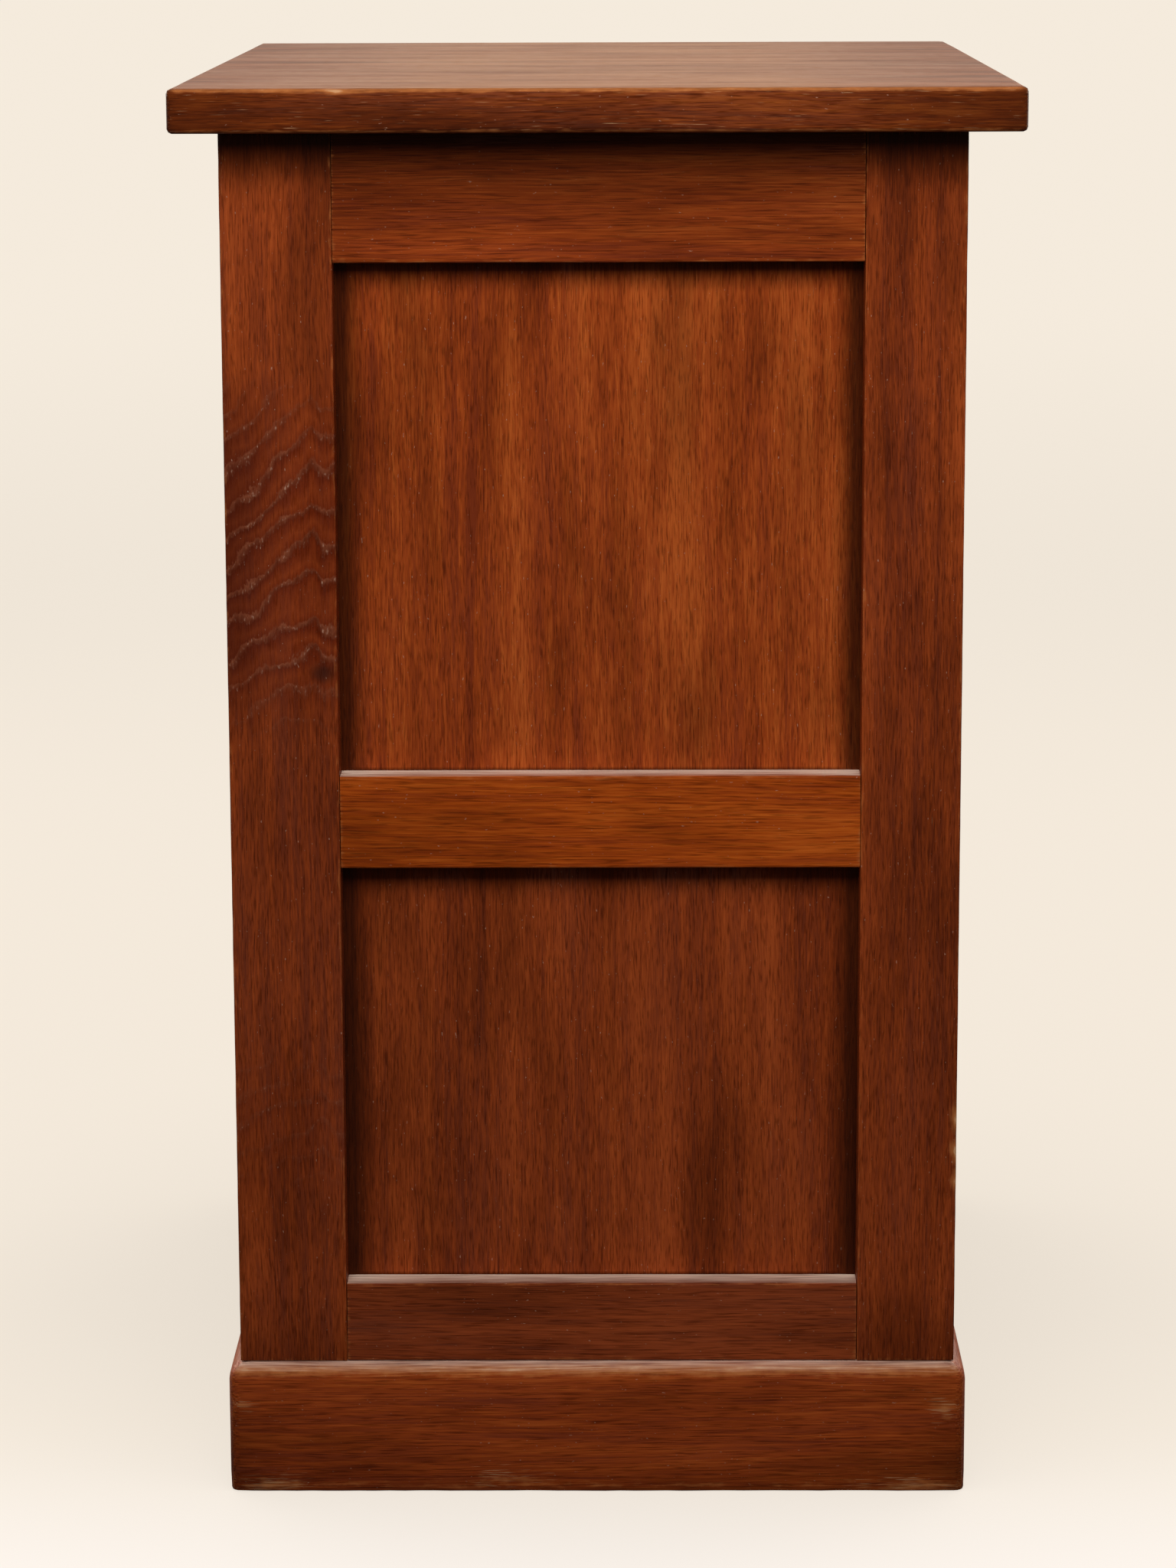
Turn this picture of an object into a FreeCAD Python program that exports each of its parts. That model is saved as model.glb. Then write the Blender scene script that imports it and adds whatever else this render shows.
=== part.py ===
import FreeCAD, Part
import math
import os
import Sketcher

# Tambour cabinet in stained oak: framed and panelled sides and back under an overhanging top,
# on a plinth with a rounded edge. A slatted shutter runs up the front in grooved track boards,
# over the goods and down behind them. Millimetres, +Z up, front towards -Y, origin on the floor
# below the middle of the top.

SIZES = {
    # Top and overall height
    "top_width": 640,
    "top_depth": 456,
    "top_thickness": 24,
    "top_arris": 2,
    "overall_height": 787,
    "end_overhang": 28,
    "front_overhang": 29.3,
    "back_overhang": 24.7,
    # Frames of the sides and the back
    "frame_thickness": 22,
    "front_stile_width": 55,
    "back_stile_width": 60.5,
    "top_rail_width": 70.5,
    "middle_rail_height": 359.5,
    "middle_rail_width": 52,
    "bottom_rail_width": 45.5,
    "muntin_width": 58,
    "panel_thickness": 5,
    "panel_lap": 9,
    "panel_play": 0.5,
    "tenon_thickness": 8,
    "tenon_setback": 6,
    "tenon_shoulder": 8,
    "tenon_length": 32,
    "back_tenon_length": 12,
    "muntin_tenon_length": 20,
    "mortise_play": 1,
    # Plinth
    "plinth_height": 75.5,
    "plinth_thickness": 20,
    "plinth_projection": 6.5,
    "plinth_round": 10,
    "block_width": 40,
    "block_height": 50,
    # Floor, header and the linings that carry the shutter
    "bottom_thickness": 22,
    "floor_tongue": 7,
    "floor_tongue_thickness": 8,
    "floor_tongue_stop": 15,
    "header_height": 60,
    "header_thickness": 18,
    "header_tenon": 6,
    "header_tenon_thickness": 8,
    "track_thickness": 18,
    "groove_width": 8,
    "groove_depth": 9,
    "groove_headroom": 14,
    "bend_radius": 45,
    "lining_thickness": 6,
    "lining_gap": 21,
    "lining_setback": 26,
    "housing_depth": 4,
    # Shelves on pegs
    "shelf_thickness": 18,
    "lower_shelf_height": 376,
    "upper_shelf_height": 560,
    "shelf_setback": 14,
    "shelf_play": 1,
    "peg_diameter": 6,
    "peg_hold": 8,
    "peg_reach": 9,
    "peg_inset": 35,
    # Shutter
    "shutter_clearance": 1,
    "lead_height": 56,
    "lead_thickness": 18,
    "floor_gap": 0.3,
    "finger_spacing": 300,
    "finger_length": 90,
    "finger_height": 20,
    "finger_depth": 10,
    "slat_pitch": 21.5,
    "slat_gap": 0.3,
    "slat_thickness": 10,
    "slat_crown": 3,
    "slat_end_gap": 1,
    "slat_cover": 8,
    "tongue_thickness": 6.5,
    "tongue_height": 12,
    "tongue_end_gap": 1.5,
    "canvas_thickness": 0.8,
    "canvas_margin": 14,
    "canvas_lap": 18,
    # Lock in the lead rail
    "lock_height": 25,
    "case_diameter": 18,
    "flange_diameter": 24,
    "flange_thickness": 2,
    "escutcheon_diameter": 34,
    "escutcheon_thickness": 1.2,
    "plug_diameter": 11,
    "plug_play": 0.05,
    "key_slot_width": 1.6,
    "key_slot_height": 7,
    "key_slot_depth": 5,
    "cam_throw": 7.7,
    "cam_width": 10,
    "cam_thickness": 3,
    "cam_play": 0.4,
    "cam_pocket_depth": 5,
    "cam_pocket_play": 3,
    "strike_width": 16,
    "strike_margin": 10,
    "strike_thickness": 1.5,
    "strike_slot_width": 5,
    "strike_slot_depth": 12,
    # Fastenings
    "dowel_diameter": 10,
    "dowel_in_top": 14,
    "dowel_in_rail": 20,
    "dowel_spacing": 95,
    "screw_diameter": 4,
    "screw_length": 28,
    "screw_head_diameter": 8,
    "screw_head_height": 2.5,
    "screw_inset": 12,
    "screw_rail_distance": 60,
}

os.makedirs("parts", exist_ok=True)
doc = FreeCAD.newDocument("TambourCabinet")
sheet = doc.addObject("Spreadsheet::Sheet", "Sizes")
for row, (alias, size) in enumerate(SIZES.items(), start=1):
    sheet.set(f"A{row}", alias)
    sheet.set(f"B{row}", str(size))
    sheet.setAlias(f"B{row}", alias)
doc.recompute()

# Places worked out from the sizes, as expressions over the sheet.
# Distances to the left and right are measured from the middle plane.
side_out = "(Sizes.top_width / 2 - Sizes.end_overhang)"
side_in = f"({side_out} - Sizes.frame_thickness)"
track_in = f"({side_in} - Sizes.track_thickness)"
plinth_out = f"({side_out} + Sizes.plinth_projection)"
plinth_in = f"({plinth_out} - Sizes.plinth_thickness)"
front = "(Sizes.front_overhang - Sizes.top_depth / 2)"
back = "(Sizes.top_depth / 2 - Sizes.back_overhang)"
back_in = f"({back} - Sizes.frame_thickness)"
panel_front = f"({front} + Sizes.front_stile_width)"
panel_back = f"({back} - Sizes.back_stile_width)"
plinth_front_in = f"({front} - Sizes.plinth_projection + Sizes.plinth_thickness)"
plinth_back_in = f"({back} + Sizes.plinth_projection - Sizes.plinth_thickness)"
under_top = "(Sizes.overall_height - Sizes.top_thickness)"
floor_top = "(Sizes.plinth_height + Sizes.bottom_thickness)"

# Heights of the rails and of the openings between them: lower edge, upper edge
rail_heights = {
    "top_rail": (f"({under_top} - Sizes.top_rail_width)", under_top),
    "middle_rail": ("Sizes.middle_rail_height", "(Sizes.middle_rail_height + Sizes.middle_rail_width)"),
    "bottom_rail": ("Sizes.plinth_height", "(Sizes.plinth_height + Sizes.bottom_rail_width)"),
}
upper_opening = (rail_heights["middle_rail"][1], rail_heights["top_rail"][0])
lower_opening = (rail_heights["bottom_rail"][1], rail_heights["middle_rail"][0])
back_opening = (rail_heights["bottom_rail"][1], rail_heights["top_rail"][0])

# The shutter's path: the middle of the groove at the front, along the top and at the back
lead_front = f"({front} + Sizes.header_thickness + Sizes.shutter_clearance)"
lead_back = f"({lead_front} + Sizes.lead_thickness)"
curtain = f"({lead_front} + Sizes.lead_thickness / 2)"
curtain_back = f"({curtain} + Sizes.slat_thickness / 2)"
canvas_back = f"({curtain_back} + Sizes.canvas_thickness)"
run_top = f"({under_top} - Sizes.groove_headroom)"
run_back = f"({back_in} - Sizes.groove_headroom)"
bend_low = f"({run_top} - Sizes.bend_radius)"
header_low = f"({under_top} - Sizes.header_height)"
lead_low = f"({floor_top} + Sizes.floor_gap)"
lead_high = f"({lead_low} + Sizes.lead_height)"
slat_end = f"({track_in} - Sizes.slat_end_gap)"
tongue_end = f"({track_in} + Sizes.groove_depth - Sizes.tongue_end_gap)"
inner_top_high = f"({run_top} - Sizes.lining_gap)"
inner_top_low = f"({inner_top_high} - Sizes.lining_thickness)"
inner_back_rear = f"({run_back} - Sizes.lining_gap)"
inner_back_front = f"({inner_back_rear} - Sizes.lining_thickness)"
shelf_front = f"({canvas_back} + Sizes.shelf_setback)"

# The lock's axis and the depths of its pieces
lock_axis = f"({lead_low} + Sizes.lock_height)"
flange_back = f"({lead_front} - Sizes.escutcheon_thickness)"
flange_front = f"({flange_back} - Sizes.flange_thickness)"
pocket_front = f"({lead_back} - Sizes.cam_pocket_depth)"
cam_front = f"({pocket_front} + Sizes.cam_play)"
cam_back = f"({cam_front} + Sizes.cam_thickness)"
cam_middle = f"({cam_front} + Sizes.cam_thickness / 2)"
# The cam's toe goes down past the lead rail's foot, and enters the floor this far to the side
cam_drop = "(Sizes.lock_height + Sizes.floor_gap)"
cam_length = f"({cam_drop} + Sizes.cam_throw)"
cam_entry = f"sqrt({cam_length} ^ 2 + Sizes.cam_width ^ 2 / 4 - {cam_drop} ^ 2)"
strike_reach = f"({cam_entry} + Sizes.cam_pocket_play)"
strike_behind = "(Sizes.cam_width / 2 + Sizes.cam_pocket_play)"

# As many slats as cover the opening and run up a little way behind the header
slat_cover_height = f"({header_low} + Sizes.slat_cover - {lead_high})"

HANDS = {"left": -1, "right": 1}
ALONG_X = FreeCAD.Rotation(FreeCAD.Vector(1, 1, 1), 120)
TO_RIGHT = FreeCAD.Rotation(FreeCAD.Vector(0, 1, 0), 90)
TO_LEFT = FreeCAD.Rotation(FreeCAD.Vector(0, 1, 0), -90)
TO_BACK = FreeCAD.Rotation(FreeCAD.Vector(1, 0, 0), -90)
QUARTER_TURN = FreeCAD.Rotation(FreeCAD.Vector(1, 0, 0), 90)
UPRIGHT = FreeCAD.Rotation()

nodes = []


def number(expression):
    """The present value of an expression over the sheet."""
    return float(sheet.evalExpression(expression))


slat_count = math.ceil(number(f"{slat_cover_height} / Sizes.slat_pitch"))
curtain_high = f"({lead_high} + Sizes.slat_pitch * {slat_count} - Sizes.slat_gap)"


def across(hand, inner, outer):
    """The X range between two distances from the middle plane, on the left or on the right."""
    return (inner, outer) if hand > 0 else (f"-({outer})", f"-({inner})")


def block(name, x_range, y_range, z_range):
    """A rectangular block between pairs of expressions."""
    made = doc.addObject("Part::Box", name)
    sides = ("Length", "Width", "Height")
    for axis, side, (low, high) in zip("xyz", sides, (x_range, y_range, z_range)):
        made.setExpression(f"Placement.Base.{axis}", low)
        made.setExpression(side, f"({high}) - ({low})")
    return made


def place(made, rotation, centre):
    """Turn a round piece and bind the middle of its first end to the sheet."""
    made.Placement = FreeCAD.Placement(FreeCAD.Vector(), rotation)
    for axis, expression in zip("xyz", centre):
        made.setExpression(f"Placement.Base.{axis}", expression)
    return made


def rod(name, diameter, length, rotation, centre):
    """A cylinder whose first end is centred on a place, and which runs the way the rotation turns it."""
    made = doc.addObject("Part::Cylinder", name)
    made.setExpression("Radius", f"({diameter}) / 2")
    made.setExpression("Height", length)
    return place(made, rotation, centre)


def joined(name, pieces):
    """Several pieces as one solid."""
    made = doc.addObject("Part::MultiFuse", name)
    made.Shapes = pieces
    made.Refine = True
    return made


def group(name, pieces):
    """Several separate solids under one name."""
    made = doc.addObject("Part::Compound", name)
    made.Links = pieces
    return made


def cut(name, base, tools):
    """A piece with all of the tools taken out of it."""
    made = doc.addObject("Part::Cut", name)
    made.Base = base
    made.Tool = joined(f"{name}_cuts", tools) if len(tools) > 1 else tools[0]
    made.Refine = True
    return made


def keep(made, label):
    """Name a finished sub-part, which is then written to its own file."""
    made.Label = label
    nodes.append(made)
    return made


def origin(body, role):
    """One of a body's own origin planes or axes."""
    return next(feature for feature in body.Origin.OriginFeatures if feature.Role == role)


def attached(body, name, role):
    """An empty sketch on one of the body's origin planes."""
    sketch = body.newObject("Sketcher::SketchObject", name)
    sketch.AttachmentSupport = [(origin(body, role), "")]
    sketch.MapMode = "FlatFace"
    return sketch


def pin(sketch, line, corner):
    """Bind the first point of a line to a pair of expressions."""
    for kind, expression in zip(("DistanceX", "DistanceY"), corner):
        rule = Sketcher.Constraint(kind, -1, 1, line, 1, number(expression))
        sketch.setExpression(f"Constraints[{sketch.addConstraint(rule)}]", expression)


def outline(body, name, role, corners):
    """A closed sketch of straight lines through corners bound to the sheet."""
    sketch = attached(body, name, role)
    points = [FreeCAD.Vector(number(u), number(v), 0) for u, v in corners]
    for index, point in enumerate(points):
        sketch.addGeometry(Part.LineSegment(point, points[(index + 1) % len(points)]))
    for index in range(len(corners)):
        following = (index + 1) % len(corners)
        sketch.addConstraint(Sketcher.Constraint("Coincident", index, 2, following, 1))
        pin(sketch, index, corners[index])
    return sketch


def pad(body, name, sketch, length, both_ways=False):
    """Pad a sketch, to one side or evenly to both sides of its plane."""
    made = body.newObject("PartDesign::Pad", name)
    made.Profile = sketch
    made.Midplane = both_ways
    made.setExpression("Length", length)
    return made


def edges_where(shape, test):
    """The names of the edges whose middle point passes a test."""
    found = []
    for index, edge in enumerate(shape.Edges, start=1):
        middle = edge.valueAt((edge.FirstParameter + edge.LastParameter) / 2)
        if test(middle):
            found.append(f"Edge{index}")
    return found


def rounded(body, name, base, edges, radius):
    """Round the named edges of a feature."""
    made = body.newObject("PartDesign::Fillet", name)
    made.Base = (base, edges)
    made.setExpression("Radius", radius)
    return made


def rail_tenon_heights(heights):
    """A rail's tenon lies between shoulders at its lower and upper edge."""
    return (f"{heights[0]} + Sizes.tenon_shoulder", f"{heights[1]} - Sizes.tenon_shoulder")


def lapped(opening):
    """An opening grown by the lap of its panel."""
    return (f"{opening[0]} - Sizes.panel_lap", f"{opening[1]} + Sizes.panel_lap")


def let_in(opening):
    """A panel's extent: the opening and its laps, less the play that lets the panel move."""
    low, high = lapped(opening)
    return (f"{low} + Sizes.panel_play", f"{high} - Sizes.panel_play")


def side_tenon_range(hand):
    """Where the side rails' tenons lie in the thickness of the frame."""
    outer = f"{side_out} - Sizes.tenon_setback"
    return across(hand, f"{outer} - Sizes.tenon_thickness", outer)


def side_panel_range(hand):
    """Where the side panels lie: flush with the inner face of the frame."""
    return across(hand, side_in, f"{side_in} + Sizes.panel_thickness")


back_tenon_range = (
    f"{back} - Sizes.tenon_setback - Sizes.tenon_thickness",
    f"{back} - Sizes.tenon_setback",
)
back_panel_range = (back_in, f"{back_in} + Sizes.panel_thickness")
muntin_half = "(Sizes.muntin_width / 2)"
tongue_low = "(Sizes.plinth_height + (Sizes.bottom_thickness - Sizes.floor_tongue_thickness) / 2)"
tongue_range = (tongue_low, f"{tongue_low} + Sizes.floor_tongue_thickness")
tongue_depth_range = (f"{front} + Sizes.floor_tongue_stop", back_in)


def floor_groove(name, hand):
    """The groove in a side frame that the floor's tongue sits in."""
    reach = f"{side_in} + Sizes.floor_tongue + Sizes.mortise_play"
    return block(name, across(hand, side_in, reach), tongue_depth_range, tongue_range)


def stile_mortises(name, hand, y_range):
    """One mortise for each of the three rails of a side frame."""
    return [
        block(f"{name}_{rail}_mortise", side_tenon_range(hand), y_range, rail_tenon_heights(heights))
        for rail, heights in rail_heights.items()
    ]


def stile_rebates(name, hand, y_range):
    """One stopped rebate for each of the two panels of a side frame."""
    return [
        block(f"{name}_{which}_rebate", side_panel_range(hand), y_range, lapped(opening))
        for which, opening in (("upper", upper_opening), ("lower", lower_opening))
    ]


def front_stile(hand, name, fastenings):
    """The stile at the front of a side frame."""
    body_range = across(hand, side_in, side_out)
    blank = block(f"{name}_blank", body_range, (front, panel_front), ("Sizes.plinth_height", under_top))
    mortises = (f"{panel_front} - Sizes.tenon_length - Sizes.mortise_play", panel_front)
    rebates = (f"{panel_front} - Sizes.panel_lap", panel_front)
    tools = stile_mortises(name, hand, mortises) + stile_rebates(name, hand, rebates)
    tools.append(floor_groove(f"{name}_floor_groove", hand))
    keep(cut(name, blank, tools + fastenings), name)


def back_stile(hand, name, fastenings):
    """The stile at the back of a side frame, which also holds the rails and panel of the back."""
    body_range = across(hand, side_in, side_out)
    blank = block(f"{name}_blank", body_range, (panel_back, back), ("Sizes.plinth_height", under_top))
    mortises = (panel_back, f"{panel_back} + Sizes.tenon_length + Sizes.mortise_play")
    rebates = (panel_back, f"{panel_back} + Sizes.panel_lap")
    tools = stile_mortises(name, hand, mortises) + stile_rebates(name, hand, rebates)
    tools.append(floor_groove(f"{name}_floor_groove", hand))
    reach = f"{side_in} + Sizes.back_tenon_length + Sizes.mortise_play"
    for rail in ("top_rail", "bottom_rail"):
        heights = rail_tenon_heights(rail_heights[rail])
        tools.append(block(f"{name}_back_{rail}", across(hand, side_in, reach), back_tenon_range, heights))
    panel_edge = across(hand, side_in, f"{side_in} + Sizes.panel_lap")
    tools.append(block(f"{name}_back_panel", panel_edge, back_panel_range, lapped(back_opening)))
    keep(cut(name, blank, tools + fastenings), name)


def side_rail(hand, name, rail, tools):
    """A rail of a side frame, with a tenon at each end."""
    heights = rail_heights[rail]
    body = block(f"{name}_blank", across(hand, side_in, side_out), (panel_front, panel_back), heights)
    ends = (f"{panel_front} - Sizes.tenon_length", f"{panel_back} + Sizes.tenon_length")
    tenons = block(f"{name}_tenons", side_tenon_range(hand), ends, rail_tenon_heights(heights))
    rebates = []
    if rail != "top_rail":
        edge = (f"{heights[1]} - Sizes.panel_lap", heights[1])
        rebates.append(block(f"{name}_above", side_panel_range(hand), (panel_front, panel_back), edge))
    if rail != "bottom_rail":
        edge = (heights[0], f"{heights[0]} + Sizes.panel_lap")
        rebates.append(block(f"{name}_below", side_panel_range(hand), (panel_front, panel_back), edge))
    keep(cut(name, joined(f"{name}_body", [body, tenons]), rebates + tools), name)


def side_panel(hand, name, opening):
    """A panel of a side frame, let into the rebates with a little play."""
    depth = let_in((panel_front, panel_back))
    keep(block(name, side_panel_range(hand), depth, let_in(opening)), name)


def back_rail(name, rail):
    """A rail of the back, tenoned into the back stiles and mortised for the muntin."""
    heights = rail_heights[rail]
    body = block(f"{name}_blank", (f"-{side_in}", side_in), (back_in, back), heights)
    reach = f"({side_in} + Sizes.back_tenon_length)"
    tenons = block(f"{name}_tenons", (f"-{reach}", reach), back_tenon_range, rail_tenon_heights(heights))
    tenon_half = f"({muntin_half} - Sizes.tenon_shoulder)"
    play = "(Sizes.muntin_tenon_length + Sizes.mortise_play)"
    if rail == "top_rail":
        lap = (heights[0], f"{heights[0]} + Sizes.panel_lap")
        mortise = (heights[0], f"{heights[0]} + {play}")
    else:
        lap = (f"{heights[1]} - Sizes.panel_lap", heights[1])
        mortise = (f"{heights[1]} - {play}", heights[1])
    tools = [
        block(f"{name}_rebate", (f"-{side_in}", side_in), back_panel_range, lap),
        block(f"{name}_mortise", (f"-{tenon_half}", tenon_half), back_tenon_range, mortise),
    ]
    keep(cut(name, joined(f"{name}_body", [body, tenons]), tools), name)


def back_muntin():
    """The upright in the middle of the back, rebated on both edges for the panels."""
    name = "back_muntin"
    low, high = back_opening
    body = block(f"{name}_blank", (f"-{muntin_half}", muntin_half), (back_in, back), back_opening)
    tenon_half = f"({muntin_half} - Sizes.tenon_shoulder)"
    ends = (f"{low} - Sizes.muntin_tenon_length", f"{high} + Sizes.muntin_tenon_length")
    tenons = block(f"{name}_tenons", (f"-{tenon_half}", tenon_half), back_tenon_range, ends)
    rebates = []
    for side, hand in HANDS.items():
        edge = across(hand, f"{muntin_half} - Sizes.panel_lap", muntin_half)
        rebates.append(block(f"{name}_{side}_rebate", edge, back_panel_range, back_opening))
    keep(cut(name, joined(f"{name}_body", [body, tenons]), rebates), name)


def back_panel(hand, name):
    """A panel of the back, between the muntin and a back stile."""
    keep(block(name, across(hand, *let_in((muntin_half, side_in))), back_panel_range, let_in(back_opening)), name)


def plinth_board(name, corners):
    """A mitred board of the plinth: its plan raised to its height, with the outer top edge rounded."""
    body = doc.addObject("PartDesign::Body", name)
    board = pad(body, f"{name}_board", outline(body, f"{name}_plan", "XY_Plane", corners), "Sizes.plinth_height")
    doc.recompute()
    middle = [(number(corners[0][axis]) + number(corners[1][axis])) / 2 for axis in (0, 1)]
    outer_top = FreeCAD.Vector(*middle, number("Sizes.plinth_height"))
    edges = edges_where(board.Shape, lambda point: point.distanceToPoint(outer_top) < 0.01)
    rounded(body, f"{name}_round", board, edges, "Sizes.plinth_round")
    keep(body, name)


def plinth():
    """Four mitred boards and the blocks in their corners."""
    outer_front = f"({front} - Sizes.plinth_projection)"
    outer_back = f"({back} + Sizes.plinth_projection)"
    front_left, front_right = (f"-{plinth_out}", outer_front), (plinth_out, outer_front)
    back_left, back_right = (f"-{plinth_out}", outer_back), (plinth_out, outer_back)
    in_front_left, in_front_right = (f"-{plinth_in}", plinth_front_in), (plinth_in, plinth_front_in)
    in_back_left, in_back_right = (f"-{plinth_in}", plinth_back_in), (plinth_in, plinth_back_in)
    plinth_board("plinth_front", [front_left, front_right, in_front_right, in_front_left])
    plinth_board("plinth_right", [front_right, back_right, in_back_right, in_front_right])
    plinth_board("plinth_back", [back_right, back_left, in_back_left, in_back_right])
    plinth_board("plinth_left", [back_left, front_left, in_front_left, in_back_left])
    depths = {
        "front": (plinth_front_in, f"{plinth_front_in} + Sizes.block_width"),
        "back": (f"{plinth_back_in} - Sizes.block_width", plinth_back_in),
    }
    heights = ("Sizes.plinth_height - Sizes.block_height", "Sizes.plinth_height")
    blocks = [
        block(f"block_{end}_{side}", across(hand, f"{plinth_in} - Sizes.block_width", plinth_in), depth, heights)
        for end, depth in depths.items()
        for side, hand in HANDS.items()
    ]
    keep(group("plinth_blocks", blocks), "plinth_blocks")


def top_dowels(hand, side):
    """Three dowels that stand in a side's top rail and reach into the top."""
    middle = f"({side_out} - Sizes.frame_thickness / 2) * {hand}"
    along = f"({panel_front} + {panel_back}) / 2"
    low = f"{under_top} - Sizes.dowel_in_rail"
    length = "Sizes.dowel_in_rail + Sizes.dowel_in_top"
    return [
        rod(
            f"dowel_{side}_{where}",
            "Sizes.dowel_diameter",
            length,
            UPRIGHT,
            (middle, f"{along} + Sizes.dowel_spacing * {step}", low),
        )
        for where, step in (("front", -1), ("middle", 0), ("back", 1))
    ]


def track_screws(hand, side, y_place):
    """Three countersunk screws that hold a track board to a stile."""
    turn = TO_RIGHT if hand > 0 else TO_LEFT
    heights = {
        "low": f"{lower_opening[0]} + Sizes.screw_rail_distance",
        "middle": f"{upper_opening[0]} + Sizes.screw_rail_distance",
        "high": f"{upper_opening[1]} - Sizes.screw_rail_distance",
    }
    screws = []
    for level, height in heights.items():
        name = f"screw_{side}_{level}"
        centre = (f"{track_in} * {hand}", y_place, height)
        shank = rod(f"{name}_shank", "Sizes.screw_diameter", "Sizes.screw_length", turn, centre)
        head = doc.addObject("Part::Cone", f"{name}_head")
        head.setExpression("Radius1", "Sizes.screw_head_diameter / 2")
        head.setExpression("Radius2", "Sizes.screw_diameter / 2")
        head.setExpression("Height", "Sizes.screw_head_height")
        screws.append(joined(name, [place(head, turn, centre), shank]))
    return screws


def top_board(dowels):
    """The top: one board with eased edges, bored from below for the dowels."""
    body = doc.addObject("PartDesign::Body", "top_blank")
    half_width, half_depth = "Sizes.top_width / 2", "Sizes.top_depth / 2"
    corners = [
        (f"-{half_width}", f"-{half_depth}"),
        (half_width, f"-{half_depth}"),
        (half_width, half_depth),
        (f"-{half_width}", half_depth),
    ]
    plan = outline(body, "top_plan", "XY_Plane", corners)
    plan.setExpression("AttachmentOffset.Base.z", under_top)
    board = pad(body, "top_slab", plan, "Sizes.top_thickness")
    doc.recompute()
    rounded(body, "top_edges", board, edges_where(board.Shape, lambda point: True), "Sizes.top_arris")
    keep(cut("top_board", body, dowels), "top_board")


def bottom_board():
    """The floor, tongued into both sides and mortised for the strike plate."""
    name = "bottom_board"
    body = block(f"{name}_blank", (f"-{side_in}", side_in), (front, back_in), ("Sizes.plinth_height", floor_top))
    reach = f"({side_in} + Sizes.floor_tongue)"
    tongue_depth = (f"{front} + Sizes.floor_tongue_stop + Sizes.mortise_play", back_in)
    tongue = block(f"{name}_tongue", (f"-{reach}", reach), tongue_depth, tongue_range)
    seat = strike_block(f"{name}_seat", "Sizes.strike_margin", "Sizes.strike_width", "Sizes.strike_thickness")
    slot = strike_block(f"{name}_slot", "0", "Sizes.strike_slot_width", "Sizes.strike_slot_depth")
    keep(cut(name, joined(f"{name}_body", [body, tongue]), [seat, slot]), name)


def strike_block(name, margin, width, depth):
    """A block sunk into the floor where the cam's toe comes down."""
    x_range = (f"-{strike_behind} - {margin}", f"{strike_reach} + {margin}")
    y_range = (f"{cam_middle} - {width} / 2", f"{cam_middle} + {width} / 2")
    return block(name, x_range, y_range, (f"{floor_top} - {depth}", floor_top))


def strike_plate():
    """The brass plate in the floor that the cam locks under."""
    plate = strike_block("strike_blank", "Sizes.strike_margin", "Sizes.strike_width", "Sizes.strike_thickness")
    slot = strike_block("strike_slot", "0", "Sizes.strike_slot_width", "Sizes.strike_thickness")
    keep(cut("strike_plate", plate, [slot]), "strike_plate")


def header_tenon(name, play):
    """The tenons at the header's ends, or with play the mortises that they sit in."""
    middle = f"({front} + Sizes.header_thickness / 2)"
    thickness = "Sizes.header_tenon_thickness / 2"
    reach = f"({track_in} + Sizes.header_tenon + {play})"
    heights = (f"{header_low} + Sizes.tenon_shoulder", f"{under_top} - Sizes.tenon_shoulder")
    return block(name, (f"-{reach}", reach), (f"{middle} - {thickness}", f"{middle} + {thickness}"), heights)


def header_rail():
    """The rail over the opening that hides the head of the shutter."""
    y_range = (front, f"{front} + Sizes.header_thickness")
    body = block("header_blank", (f"-{track_in}", track_in), y_range, (header_low, under_top))
    keep(joined("header_rail", [body, header_tenon("header_tenons", "0")]), "header_rail")


def bend(name, hand, centre_y, turn):
    """A quarter of a ring, as the groove turns from upright to level."""
    low = across(hand, track_in, f"{track_in} + Sizes.groove_depth")[0]
    centre = (low, centre_y, bend_low)
    sectors = []
    for part, sign in (("outer", "+"), ("inner", "-")):
        sector = doc.addObject("Part::Cylinder", f"{name}_{part}")
        sector.Angle = 90
        sector.setExpression("Radius", f"Sizes.bend_radius {sign} Sizes.groove_width / 2")
        sector.setExpression("Height", "Sizes.groove_depth")
        sectors.append(place(sector, turn, centre))
    return cut(name, sectors[0], [sectors[1]])


def track_groove(hand, name):
    """The shutter's groove: up the front, over the top and out at the foot of the back."""
    depth = across(hand, track_in, f"{track_in} + Sizes.groove_depth")
    half = "Sizes.groove_width / 2"
    upright = (floor_top, bend_low)
    front_centre = f"({curtain} + Sizes.bend_radius)"
    back_centre = f"({run_back} - Sizes.bend_radius)"
    return [
        block(f"{name}_up", depth, (f"{curtain} - {half}", f"{curtain} + {half}"), upright),
        block(f"{name}_over", depth, (front_centre, back_centre), (f"{run_top} - {half}", f"{run_top} + {half}")),
        block(f"{name}_down", depth, (f"{run_back} - {half}", f"{run_back} + {half}"), upright),
        bend(f"{name}_front_bend", hand, front_centre, QUARTER_TURN.multiply(ALONG_X)),
        bend(f"{name}_back_bend", hand, back_centre, ALONG_X),
    ]


inner_top_depth = (f"{curtain} + Sizes.lining_setback", inner_back_rear)


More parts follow.
